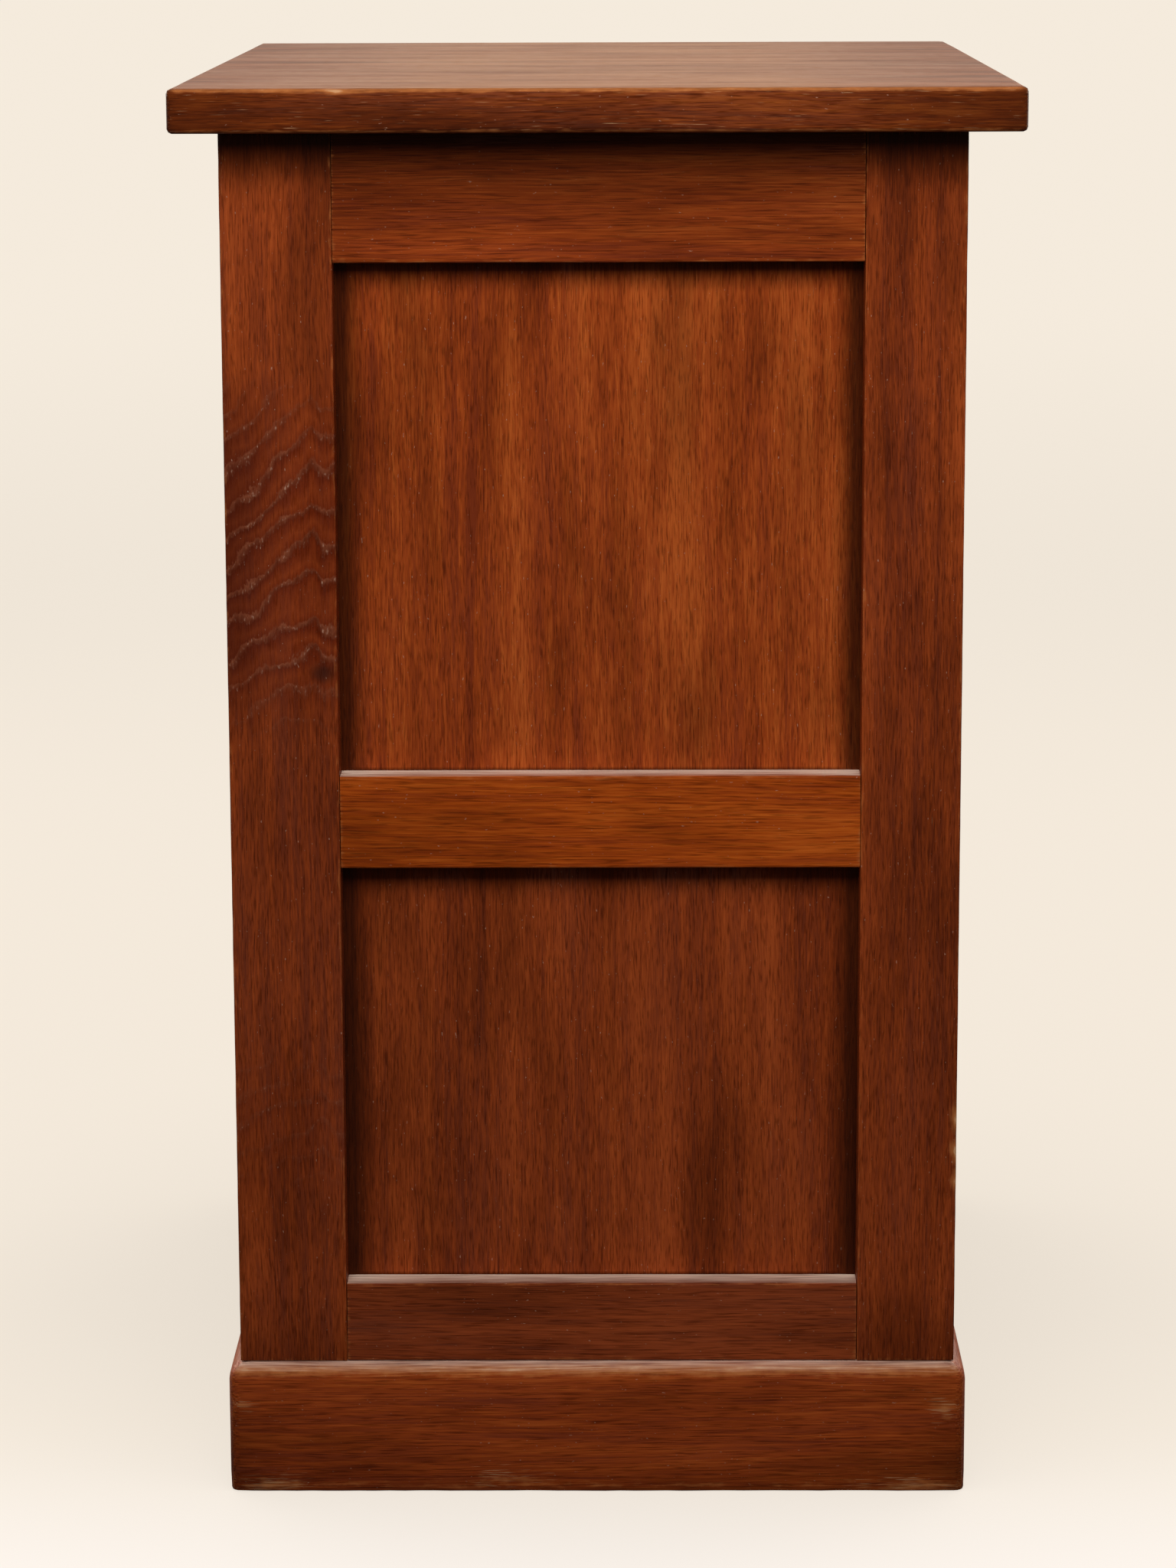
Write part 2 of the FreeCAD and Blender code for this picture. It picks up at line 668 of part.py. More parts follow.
def track_board(hand, name, fastenings):
    """The lining of a side, grooved for the shutter and housed for the header and the inner linings."""
    blank = block(f"{name}_blank", across(hand, track_in, side_in), (front, back_in), (floor_top, under_top))
    housing = across(hand, track_in, f"{track_in} + Sizes.housing_depth")
    tools = track_groove(hand, f"{name}_groove") + [
        block(f"{name}_top_housing", housing, inner_top_depth, (inner_top_low, inner_top_high)),
        block(f"{name}_back_housing", housing, (inner_back_front, inner_back_rear), (floor_top, inner_top_low)),
        header_tenon(f"{name}_mortise", "Sizes.mortise_play"),
    ]
    keep(cut(name, blank, tools + fastenings), name)


def inner_linings():
    """The thin boards that part the goods from the shutter: one above them and one behind."""
    reach = f"({track_in} + Sizes.housing_depth)"
    width = (f"-{reach}", reach)
    keep(block("inner_top", width, inner_top_depth, (inner_top_low, inner_top_high)), "inner_top")
    keep(block("inner_back", width, (inner_back_front, inner_back_rear), (floor_top, inner_top_low)), "inner_back")


def shelf(name, height):
    """A loose shelf that lies on four pegs."""
    half = f"({track_in} - Sizes.shelf_play)"
    depth = (shelf_front, f"{inner_back_front} - Sizes.shelf_play")
    keep(block(name, (f"-{half}", half), depth, (height, f"{height} + Sizes.shelf_thickness")), name)


def shelf_pegs(hand, side):
    """The pegs under both shelves on one side."""
    pegs = []
    start = f"({track_in} + Sizes.peg_hold) * {hand}"
    turn = TO_LEFT if hand > 0 else TO_RIGHT
    depths = {"front": f"{shelf_front} + Sizes.peg_inset", "back": f"{inner_back_front} - Sizes.peg_inset"}
    for level in ("lower", "upper"):
        middle = f"Sizes.{level}_shelf_height - Sizes.peg_diameter / 2"
        for end, depth in depths.items():
            name = f"peg_{side}_{level}_{end}"
            length = "Sizes.peg_hold + Sizes.peg_reach"
            pegs.append(rod(name, "Sizes.peg_diameter", length, turn, (start, depth, middle)))
    return pegs


def finger_recess(hand, side):
    """A recess with round ends in the face of the lead rail, to lift the shutter by."""
    middle = f"Sizes.finger_spacing / 2 * {hand}"
    straight = "(Sizes.finger_length - Sizes.finger_height) / 2"
    height = f"({lead_low} + Sizes.lead_height / 2)"
    y_range = (lead_front, f"{lead_front} + Sizes.finger_depth")
    z_range = (f"{height} - Sizes.finger_height / 2", f"{height} + Sizes.finger_height / 2")
    x_range = (f"{middle} - {straight}", f"{middle} + {straight}")
    recess = [block(f"finger_{side}_middle", x_range, y_range, z_range)]
    for end, x_place in zip(("low", "high"), x_range):
        centre = (x_place, lead_front, height)
        recess.append(rod(f"finger_{side}_{end}", "Sizes.finger_height", "Sizes.finger_depth", TO_BACK, centre))
    return recess


def lead_rail():
    """The bottom rail of the shutter, with finger recesses, the lock's bore and the cam's pocket."""
    name = "lead_rail"
    heights = (lead_low, lead_high)
    body = block(f"{name}_blank", (f"-{slat_end}", slat_end), (lead_front, lead_back), heights)
    half = "Sizes.tongue_thickness / 2"
    tongue = block(
        f"{name}_tongues", (f"-{tongue_end}", tongue_end), (f"{curtain} - {half}", f"{curtain} + {half}"), heights
    )
    lap = block(
        f"{name}_lap",
        (f"-{slat_end}", slat_end),
        (curtain_back, lead_back),
        (f"{lead_high} - Sizes.canvas_lap", lead_high),
    )
    bore = rod(f"{name}_bore", "Sizes.case_diameter", "Sizes.lead_thickness", TO_BACK, ("0", lead_front, lock_axis))
    pocket = block(
        f"{name}_pocket",
        (f"-{strike_behind}", f"{cam_length} + Sizes.cam_pocket_play"),
        (pocket_front, lead_back),
        (lead_low, f"{lock_axis} + {strike_behind}"),
    )
    tools = [lap, bore, pocket]
    for side, hand in HANDS.items():
        tools += finger_recess(hand, side)
    keep(cut(name, joined(f"{name}_body", [body, tongue]), tools), name)


def tambour_slats():
    """The slats: a crowned strip with a tongue at each end, repeated until the header covers the last."""
    body = doc.addObject("PartDesign::Body", "tambour_slats")
    body.AllowCompound = True
    low = lead_high
    high = f"({low} + Sizes.slat_pitch - Sizes.slat_gap)"
    shoulder = f"({curtain} - Sizes.slat_thickness / 2 + Sizes.slat_crown)"
    section = attached(body, "slat_section", "YZ_Plane")
    corners = [(shoulder, low), (curtain_back, low), (curtain_back, high), (shoulder, high)]
    points = [FreeCAD.Vector(number(u), number(v), 0) for u, v in corners]
    for start, end in zip(points, points[1:]):
        section.addGeometry(Part.LineSegment(start, end))
    crown = (points[0] + points[3]) / 2 - FreeCAD.Vector(number("Sizes.slat_crown"), 0, 0)
    face = section.addGeometry(Part.Arc(points[3], crown, points[0]))
    for line in (0, 1):
        section.addConstraint(Sketcher.Constraint("Coincident", line, 2, line + 1, 1))
        pin(section, line, corners[line])
    pin(section, 2, corners[2])
    section.addConstraint(Sketcher.Constraint("Horizontal", 2))
    section.addConstraint(Sketcher.Constraint("Vertical", 2, 2, 0, 1))
    section.addConstraint(Sketcher.Constraint("Coincident", 2, 2, face, 1))
    section.addConstraint(Sketcher.Constraint("Coincident", 0, 1, face, 2))
    chord = "(Sizes.slat_pitch - Sizes.slat_gap)"
    radius = f"Sizes.slat_crown / 2 + {chord} * {chord} / (8 * Sizes.slat_crown)"
    rule = section.addConstraint(Sketcher.Constraint("Radius", face, number(radius)))
    section.setExpression(f"Constraints[{rule}]", radius)
    strip = pad(body, "slat_strip", section, f"2 * {slat_end}", both_ways=True)
    half = "Sizes.tongue_thickness / 2"
    middle = f"({low} + {chord} / 2)"
    ends = [
        (f"{curtain} {a} {half}", f"{middle} {b} Sizes.tongue_height / 2")
        for a, b in (("-", "-"), ("+", "-"), ("+", "+"), ("-", "+"))
    ]
    tongue_section = outline(body, "slat_tongue_section", "YZ_Plane", ends)
    tongues = pad(body, "slat_tongues", tongue_section, f"2 * {tongue_end}", both_ways=True)
    doc.recompute()
    pattern = body.newObject("PartDesign::LinearPattern", "slat_rows")
    pattern.Originals = [strip, tongues]
    pattern.Direction = (origin(body, "Z_Axis"), [""])
    pattern.Mode = "Spacing"
    pattern.setExpression("Offset", "Sizes.slat_pitch")
    pattern.Occurrences = slat_count
    body.Tip = pattern
    keep(body, "tambour_slats")


def canvas_backing():
    """The canvas glued to the backs of the slats and lapped onto the lead rail."""
    half = f"({slat_end} - Sizes.canvas_margin)"
    heights = (f"{lead_high} - Sizes.canvas_lap", curtain_high)
    keep(block("canvas_backing", (f"-{half}", half), (curtain_back, canvas_back), heights), "canvas_backing")


def lock():
    """The cam lock: a fixed case and escutcheon, and a plug that turns the cam."""
    bore = "Sizes.plug_diameter + 2 * Sizes.plug_play"

    def turned(name, diameter, start, end):
        return rod(name, diameter, f"({end}) - ({start})", TO_BACK, ("0", start, lock_axis))

    flange = turned("case_flange", "Sizes.flange_diameter", flange_front, flange_back)
    barrel = turned("case_barrel", "Sizes.case_diameter", flange_front, pocket_front)
    case_bore = turned("case_bore", bore, flange_front, pocket_front)
    keep(cut("lock_case", joined("case_body", [flange, barrel]), [case_bore]), "lock_case")
    ring = turned("escutcheon_disc", "Sizes.escutcheon_diameter", flange_back, lead_front)
    ring_bore = turned("escutcheon_bore", "Sizes.case_diameter", flange_back, lead_front)
    keep(cut("lock_escutcheon", ring, [ring_bore]), "lock_escutcheon")
    plug = turned("plug_blank", "Sizes.plug_diameter", flange_front, cam_front)
    key_slot = block(
        "key_slot",
        ("-Sizes.key_slot_width / 2", "Sizes.key_slot_width / 2"),
        (flange_front, f"{flange_front} + Sizes.key_slot_depth"),
        (f"{lock_axis} - Sizes.key_slot_height / 2", f"{lock_axis} + Sizes.key_slot_height / 2"),
    )
    keep(cut("lock_plug", plug, [key_slot]), "lock_plug")
    half = "Sizes.cam_width / 2"
    arm = block(
        "cam_arm", ("0", cam_length), (cam_front, cam_back), (f"{lock_axis} - {half}", f"{lock_axis} + {half}")
    )
    boss = turned("cam_boss", "Sizes.cam_width", cam_front, cam_back)
    keep(joined("lock_cam", [arm, boss]), "lock_cam")


def build():
    """Every sub-part of the cabinet."""
    dowels, screws, pegs = [], [], []
    for side, hand in HANDS.items():
        side_dowels = top_dowels(hand, side)
        front_screws = track_screws(hand, f"{side}_front", f"{front} + Sizes.screw_inset")
        back_screws = track_screws(hand, f"{side}_back", f"{panel_back} + Sizes.screw_inset")
        side_pegs = shelf_pegs(hand, side)
        front_stile(hand, f"{side}_front_stile", front_screws)
        back_stile(hand, f"{side}_back_stile", back_screws)
        side_rail(hand, f"{side}_top_rail", "top_rail", side_dowels)
        side_rail(hand, f"{side}_middle_rail", "middle_rail", [])
        side_rail(hand, f"{side}_bottom_rail", "bottom_rail", [floor_groove(f"{side}_rail_groove", hand)])
        side_panel(hand, f"{side}_upper_panel", upper_opening)
        side_panel(hand, f"{side}_lower_panel", lower_opening)
        track_board(hand, f"{side}_track_board", front_screws + back_screws + side_pegs)
        back_panel(hand, f"back_{side}_panel")
        dowels += side_dowels
        screws += front_screws + back_screws
        pegs += side_pegs
    back_rail("back_top_rail", "top_rail")
    back_rail("back_bottom_rail", "bottom_rail")
    back_muntin()
    plinth()
    top_board(dowels)
    bottom_board()
    header_rail()
    inner_linings()
    shelf("shelf_lower", "Sizes.lower_shelf_height")
    shelf("shelf_upper", "Sizes.upper_shelf_height")
    lead_rail()
    tambour_slats()
    canvas_backing()
    lock()
    strike_plate()
    keep(group("top_dowels", dowels), "top_dowels")
    keep(group("track_screws", screws), "track_screws")
    keep(group("shelf_pegs", pegs), "shelf_pegs")


def write():
    """Check the whole document and write each sub-part to its own file."""
    doc.recompute()
    failed = [made.Name for made in doc.Objects if {"Invalid", "Error"} & set(made.State)]
    failed += [made.Label for made in nodes if made.Shape.isNull() or not made.Shape.isValid()]
    if failed:
        raise RuntimeError(f"failed: {failed}")
    for made in nodes:
        made.Shape.exportStep(f"parts/{made.Label}.step")
    print(len(nodes), "sub-parts,", slat_count, "slats")


build()
write()
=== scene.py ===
# %% [markdown]
# # A tambour cabinet in stained oak
#
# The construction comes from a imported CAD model, loaded here as a fixed frame. This script gives it
# its looks: boards with worn arrises, red-brown stain under an old wax polish, a slatted shutter on
# canvas, and a small brass lock. Everything is in metres, +Z is up and the front faces -Y.

# %% Load the frame
import math

import bmesh
import bpy
import numpy as np
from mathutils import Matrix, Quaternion, Vector


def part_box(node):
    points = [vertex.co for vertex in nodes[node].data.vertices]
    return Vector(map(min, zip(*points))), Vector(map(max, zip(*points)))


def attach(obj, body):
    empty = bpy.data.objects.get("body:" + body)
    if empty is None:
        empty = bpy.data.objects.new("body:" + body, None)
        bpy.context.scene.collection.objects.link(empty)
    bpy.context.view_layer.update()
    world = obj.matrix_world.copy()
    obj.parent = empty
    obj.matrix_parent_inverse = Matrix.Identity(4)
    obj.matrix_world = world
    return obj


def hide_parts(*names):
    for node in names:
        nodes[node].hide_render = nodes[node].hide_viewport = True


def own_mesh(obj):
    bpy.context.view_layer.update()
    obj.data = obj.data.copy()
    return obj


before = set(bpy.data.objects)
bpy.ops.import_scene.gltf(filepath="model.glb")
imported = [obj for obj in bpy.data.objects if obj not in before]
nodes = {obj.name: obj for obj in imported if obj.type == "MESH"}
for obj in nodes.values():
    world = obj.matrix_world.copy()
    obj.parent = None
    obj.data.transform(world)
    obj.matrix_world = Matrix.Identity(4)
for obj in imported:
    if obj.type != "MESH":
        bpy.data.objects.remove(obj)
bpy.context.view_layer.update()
MM = 0.001

# %% [markdown]
# The photograph looks at the cabinet's left side, almost square on and from a little above, through
# a long lens. A camera could be aimed with a Track To constraint, but its direction is worked out
# once here instead: a direction to look along, then a slight roll.

# %% Camera
EYE = Vector((-2.7635, -0.0158, 0.9013))
LOOK_DOWN = math.radians(11.31)
LOOK_LEFT = math.radians(0.51)
ROLL = math.radians(-0.20)
LENS_MM = 105.33

bpy.ops.object.select_all(action="DESELECT")
bpy.ops.object.camera_add(location=EYE)
camera = bpy.context.object
ahead = Vector((math.cos(LOOK_LEFT), math.sin(LOOK_LEFT), -math.tan(LOOK_DOWN)))
camera.rotation_mode = "QUATERNION"
camera.rotation_quaternion = ahead.to_track_quat("-Z", "Y") @ Quaternion((0, 0, 1), ROLL)
camera.data.lens = LENS_MM
camera.data.clip_end = 200
bpy.context.scene.camera = camera
print("camera looks along", tuple(round(part, 4) for part in ahead.normalized()))

# %% [markdown]
# A few small tools serve every material. Colours are written as sRGB hex values, as a paint program
# shows them, and turned to the linear values that the shaders take. Nodes are added one at a time,
# with their settings, and with a number or a link for each input that isn't left as it is.

# %% Colours and nodes
# The colour sockets of a Mix node, whose names are shared with its other kinds.
FACTOR, FIRST, SECOND, MIXED = 0, 6, 7, 2


def linear(hex_colour):
    """An sRGB hex colour as linear red, green, blue and alpha."""
    shown = [int(hex_colour[start:start + 2], 16) / 255 for start in (1, 3, 5)]
    return [c / 12.92 if c <= 0.04045 else ((c + 0.055) / 1.055) ** 2.4 for c in shown] + [1.0]


def fill(tree, node, inputs):
    """Links or sets inputs of a node, which are given in order or by name."""
    for name, value in inputs.items() if isinstance(inputs, dict) else enumerate(inputs):
        if isinstance(value, bpy.types.NodeSocket):
            tree.links.new(value, node.inputs[name])
        else:
            node.inputs[name].default_value = value


def add(tree, kind, inputs=(), out=0, stops=(), **settings):
    """Adds a node with its settings, inputs and colour stops, and gives the output asked for, or all."""
    node = tree.nodes.new(f"ShaderNode{kind}")
    for name, value in settings.items():
        setattr(node, name, value)
    fill(tree, node, inputs)
    for number, (place, colour) in enumerate(stops):
        ramp = node.color_ramp.elements
        stop = ramp[number] if number < len(ramp) else ramp.new(place)
        stop.position = place
        stop.color = linear(colour)
    return node.outputs if out is None else node.outputs[out]


print("white is", linear("#FFFFFF"))

# %% [markdown]
# The room is a pale paper floor that runs out of sight under an even cream light. The camera sees
# the bright cream, and the polish sees it too, though less of it in the floor, which lies partly in
# shade. The paper throws only a little light back at the cabinet, so that the shadows under the top
# and in the panels stay as deep as they are in the photograph.

# %% Floor and sky
CREAM = "#F4EADC"
PALE_CREAM = "#F4EDE6"
PAPER = "#46423E"
PAPER_BOUNCE = "#3A3632"
FLOOR_RADIUS = 80
CONTACT_REACH = 0.35
SKY_FILL = 0.12


def seen(tree, by_camera, by_polish):
    """The strength of a backdrop for the camera and for shiny surfaces. It lights nothing else."""
    ray = add(tree, "LightPath", out=None)
    shiny = add(tree, "Math", (ray["Is Glossy Ray"], ray["Is Transmission Ray"]), operation="MAXIMUM")
    shiny = add(tree, "Math", (shiny, by_polish), operation="MULTIPLY")
    return add(tree, "Math", (ray["Is Camera Ray"], by_camera, shiny), operation="MULTIPLY_ADD")


# The paper gives the eye an even cream ground with a soft shadow round the foot of the cabinet.
paper = bpy.data.materials.new("cream paper")
paper.use_nodes = True
tree = paper.node_tree
tree.nodes.clear()
clear_sky = add(tree, "AmbientOcclusion", {"Distance": CONTACT_REACH}, out="AO", samples=6)
shade = add(tree, "MapRange", (clear_sky, 0.4, 1, 0.86, 1))
glow = add(tree, "Math", (seen(tree, 1.0, 0.3), shade), operation="MULTIPLY")
# Near the cabinet it is brighter and whiter on the photographed side, and darker on the others.
spread = add(tree, "TexCoord", out="Object")
across = add(tree, "SeparateXYZ", (spread,), out="X")
away = add(tree, "VectorMath", (spread,), out="Value", operation="LENGTH")
close = add(tree, "MapRange", (away, 7, 2, 0, 1), interpolation_type="SMOOTHSTEP")
lighter = add(tree, "MapRange", (across, -0.6, 0.1, 0.08, -0.065), interpolation_type="SMOOTHSTEP")
lighter = add(tree, "Math", (lighter, close, 1.0), operation="MULTIPLY_ADD")
glow = add(tree, "Math", (glow, lighter), operation="MULTIPLY")
whiter = add(tree, "MapRange", (across, -0.15, -0.5, 0, close), interpolation_type="SMOOTHSTEP")
tint = add(tree, "Mix", {FACTOR: whiter, FIRST: linear(CREAM), SECOND: linear(PALE_CREAM)},
           out=MIXED, data_type="RGBA")
cream = add(tree, "Emission", {"Color": tint, "Strength": glow})
bounced = add(tree, "LightPath", out="Is Diffuse Ray")
fibre = add(tree, "Mix", {FACTOR: bounced, FIRST: linear(PAPER), SECOND: linear(PAPER_BOUNCE)},
            out=MIXED, data_type="RGBA")
lit = add(tree, "BsdfDiffuse", {"Color": fibre})
add(tree, "OutputMaterial", {"Surface": add(tree, "AddShader", (cream, lit))}, out=None)

bpy.ops.mesh.primitive_circle_add(vertices=64, radius=FLOOR_RADIUS, fill_type="NGON")
floor = bpy.context.object
floor.name = "floor"
floor.data.materials.append(paper)

world = bpy.data.worlds.new("studio")
bpy.context.scene.world = world
world.use_nodes = True
tree = world.node_tree
tree.nodes.clear()
backdrop = add(tree, "Background", {"Color": linear(CREAM), "Strength": seen(tree, 1.0, 1.0)})
strength = add(tree, "Math", (add(tree, "LightPath", out="Is Diffuse Ray"), SKY_FILL), operation="MULTIPLY")
soft = add(tree, "Background", {"Color": linear("#FFF6EA"), "Strength": strength})
add(tree, "OutputWorld", {"Surface": add(tree, "AddShader", (soft, backdrop))}, out=None)
print("floor and sky in", CREAM)

# %% [markdown]
# Three softboxes stand round the cabinet: one by the camera, and two that share the other sides. The
# one by the camera stands close, so its light fades from the top of the cabinet to its foot, and its
# height sets how far the top's shadow reaches down. The colours are shown as they are written, with
# the Standard view.

# %% Softboxes
# Where each softbox stands, the side of its square and its power in watts.
SOFTBOXES = (((-1.5, 0, 1.5), 0.8, 21), ((1.4, -1.5, 1.5), 1.8, 36), ((1.4, 1.5, 1.5), 1.8, 36))
AIM = Vector((0, 0, 0.65))

bpy.context.scene.view_settings.view_transform = "Standard"
for place, side, watts in SOFTBOXES:
    bpy.ops.object.light_add(type="AREA", location=place)
    softbox = bpy.context.object
    softbox.rotation_mode = "QUATERNION"
    softbox.rotation_quaternion = (AIM - softbox.location).to_track_quat("-Z", "Y")
    softbox.data.size = side
    softbox.data.energy = watts
    softbox.data.color = linear("#FFF5EA")[:3]
    # A mirror image of the one by the camera would white out the top from the other side.
    softbox.visible_glossy = place[0] > 0
print("softboxes:", len(SOFTBOXES))

# %% [markdown]
# Oak is ring-porous: rows of open pores run along the grain and take the stain darkest, between
# bands that stay lighter. The pattern could be painted, but a solid pattern runs round the edges
# and shows end grain by itself. Noises stretched along the board by their real sizes give the broad
# bands, streaks, fibres and pores, and marks kept in the mesh say where hands, dust and knocks fell,
# and where shade and highlight are painted.

# %% Stained oak
GRAIN_TURN = {"x": (0, math.radians(-90), 0), "y": (math.radians(90), 0, 0), "z": (0, 0, 0)}
# What the meshes tell the finish: a slat's own number, and where there are painted shade with some
# grime, dust with a painted highlight, rubbing, scratches and lost polish.
MARKS = ("board", "grime", "dust", "wear", "scuff", "matt")
# Width across the grain, length along it, and how many finer noises are laid over.
OAK_GRAIN = {
    "band": (40 * MM, 520 * MM, 2),
    "patch": (30 * MM, 130 * MM, 3),
    "streak": (6 * MM, 150 * MM, 3),
    "fibre": (0.9 * MM, 16 * MM, 2),
    "pore": (0.8 * MM, 8 * MM, 1),
    "speck": (1.1 * MM, 2.5 * MM, 1),
    "scratch": (0.5 * MM, 14 * MM, 1),
    "rub": (4 * MM, 8 * MM, 3),
}
DRAWN_OUT = ("fibre", "pore")
# How often the grain bends in a metre, across the board and along it, and how far.
GRAIN_BENDS = (11, 11, 2.4)
GRAIN_SWAY = (12 * MM, 12 * MM, 0)
NEXT_BOARD = Vector((0.31, 0.17, 1.9))
PALE_STAIN = ("#742E13", "#974218", "#B45A26")
STAIN = ("#672A13", "#8A3C18", "#A44D22")
DEEP_STAIN = ("#582512", "#7B3618", "#934522")
BARE_OAK = "#CDA078"
# Layers over the stain: the colour, the pattern it follows, where that starts and ends, and the most
# of the layer that shows.
STAIN_LAYERS = {
    "pores": ("#34120A", "pore", 0.52, 0.70, 0.46),
    "smoke": ("#2E140C", "patch", 0.48, 0.70, 0.36),
}
USE_LAYERS = {
    # Pale specks in the pores, partly filler and partly painted glints.
    "pore filler and glints": ("#C09A86", "speck", 0.745, 0.81, 0.55),
    "scratches": (BARE_OAK, "scored", 0.80, 0.90, 0.6),
    # Painted shade, with some dirt, in the corners and under overhangs.
    "painted shade and dirt": ("#1C0B06", "grime", 0, 1, 1),
    # Rubbed wood; on the plinth's nose and corners it is also a painted highlight.
    "rubbed": ("#BA7542", "worn", 1.1, 1.55, 0.8),
    "bared": (BARE_OAK, "worn", 1.56, 1.74, 0.9),
    # Dust on the ledges, partly a painted highlight where their tops catch the light.
    "dusting and highlight": ("#F3DDCF", "settled_and_lit", 0.1, 0.6, 1),
}
# What makes up each pattern of the whole finish, and by what share.
TONE = {"band": 0.45, "streak": 0.35, "fibre": 0.45}
SCORED = {"scratch": 1, "scuff": 0.2}
WORN = {"wear": 1, "rub": 0.7, "fibre": 0.6}
POLISH_LOST = {"matt": 1, "patch": 0.65, "streak": 0.35, "pores": 0.45, "grime": 0.3}
ROUGHENED = {"pores": 0.15, "bared": 0.3}
RELIEF = {"fibre": 1, "pores": -1}
# Where the polish starts to thin, and where only a fifth of it is left.
POLISH_SPAN = (0.38, 0.66)


def surface(name):
    """A new material, its tree of nodes, and the Principled surface that it starts with."""
    made = bpy.data.materials.new(name)
    made.use_nodes = True
    return made, made.node_tree, made.node_tree.nodes["Principled BSDF"]


def weighed(tree, patterns, shares, total=0):
    """The sum of some patterns, each by its share, on top of a first value."""
    for name, share in shares.items():
        total = add(tree, "Math", (patterns[name], share, total), operation="MULTIPLY_ADD")
    return total


def lay(tree, colour, layers, patterns):
    """Lays layers over a colour, and keeps how much of each shows as a pattern of that name."""
    for name, (over, pattern, start, end, most) in layers.items():
        patterns[name] = add(tree, "MapRange", (patterns[pattern], start, end, 0, most))
        colour = add(tree, "Mix", {FACTOR: patterns[name], FIRST: colour, SECOND: linear(over)},
                     out=MIXED, data_type="RGBA")
    return colour


def oak(name, grain, number, tones=STAIN, gloss=0.42, sheen=0.28, stroke=1.0, figure=None):
    """Polished oak with its grain along an axis. Each board number is another place in the tree, and
    the stroke says how long its fibres and pores are drawn."""
    # It gives the eye a warm red-brown with dark pores, rubbed pale on the arrises, under thin wax.
    stained, tree, skin = surface(name)
    place = add(tree, "TexCoord", out="Object")
    patterns = {kept: add(tree, "Attribute", out="Fac", attribute_name=kept) for kept in MARKS}
    moved = add(tree, "VectorMath", (tuple(NEXT_BOARD), patterns["board"], place), operation="MULTIPLY_ADD")
    along = add(tree, "Mapping", {"Vector": moved, "Rotation": GRAIN_TURN[grain],
                                  "Location": NEXT_BOARD * number})
    bend = add(tree, "Mapping", {"Vector": along, "Scale": GRAIN_BENDS})
    wander = add(tree, "TexNoise", {"Vector": bend, "Scale": 1, "Detail": 3}, out="Color")
    sway = add(tree, "VectorMath", (wander, GRAIN_SWAY, along), operation="MULTIPLY_ADD")
    for feature, (width, length, finer) in OAK_GRAIN.items():
        if feature in DRAWN_OUT:
            length *= stroke
        drawn = add(tree, "Mapping", {"Vector": sway, "Scale": (1 / width, 1 / width, 1 / length)})
        patterns[feature] = add(tree, "TexNoise", {"Vector": drawn, "Scale": 1, "Detail": finer})

    # The stain: bands, streaks and fibres together choose a tone, and the pores are darker still.
    dark, middling, light = tones
    colour = add(tree, "ValToRGB", {"Fac": weighed(tree, patterns, TONE)},
                 stops=((0.48, dark), (0.77, light), (0.625, middling)))
    colour = lay(tree, colour, STAIN_LAYERS, patterns)
    if figure:
        colour = figure(tree, place, patterns, colour)

    # Use and painted light: pale specks, partly painted glints, fleck the pores; painted shade with
    # some grime darkens the corners; dust with a painted highlight lies on the ledges; and the
    # arrises are rubbed bare.
    patterns["scored"] = weighed(tree, patterns, SCORED)
    patterns["worn"] = weighed(tree, patterns, WORN)
    patterns["settled_and_lit"] = add(tree, "Math", (patterns["fibre"], patterns["dust"]), operation="MULTIPLY")
    colour = lay(tree, colour, USE_LAYERS, patterns)

    # The polish has thinned in streaks, and it is duller over the pores and the bare wood.
    lost = weighed(tree, patterns, POLISH_LOST)
    polish = add(tree, "MapRange", (lost, *POLISH_SPAN, sheen, 0.2 * sheen))
    rough = weighed(tree, patterns, ROUGHENED, gloss)
    relief = add(tree, "Bump", {"Height": weighed(tree, patterns, RELIEF), "Strength": 0.35,
                                "Distance": 0.2 * MM})
    fill(tree, skin, {"Base Color": colour, "IOR": 1.45, "Specular IOR Level": polish, "Roughness": rough,
                      "Normal": relief})
    return stained


print("oak:", len(OAK_GRAIN), "patterns of grain and", len(MARKS), "marks of use")

# %% [markdown]
# A sawn board starts as a cube primitive stretched to its two corners. Rows of cuts close to its
# edges keep the wear near them, slices along its length let that wear change from place to place,
# and the sharp edges are eased with a bevel: wider along the grain, finer at the ends, where the
# board meets its neighbour in a thin dark line.

# %% Shaping boards
AXES = "xyz"
EDGE_ROWS = (2.5 * MM, 7 * MM)
SLICE = 9 * MM
WEAR_LUMP = 14 * MM
# Places closer than this are the same.
SAME = 0.01 * MM
# A dressed piece has the name of its CAD node with this after it.
DRESSED = "_dressed"
SELECT_MODES = {"edges": "EDGE", "faces": "FACE"}


def choose(*pieces):
    """Selects only these pieces, and makes the first of them active."""
    bpy.ops.object.select_all(action="DESELECT")
    for piece in pieces:
        piece.select_set(True)
    bpy.context.view_layer.objects.active = pieces[0]


def pick(piece, kind, test):
    """Selects, in edit mode, only the edges or faces that pass a test."""
    bpy.ops.mesh.select_mode(type=SELECT_MODES[kind])
    bpy.ops.mesh.select_all(action="DESELECT")
    mesh = bmesh.from_edit_mesh(piece.data)
    mesh.normal_update()
    for part in getattr(mesh, kind):
        if test(part):
            part.select_set(True)
    bmesh.update_edit_mesh(piece.data)


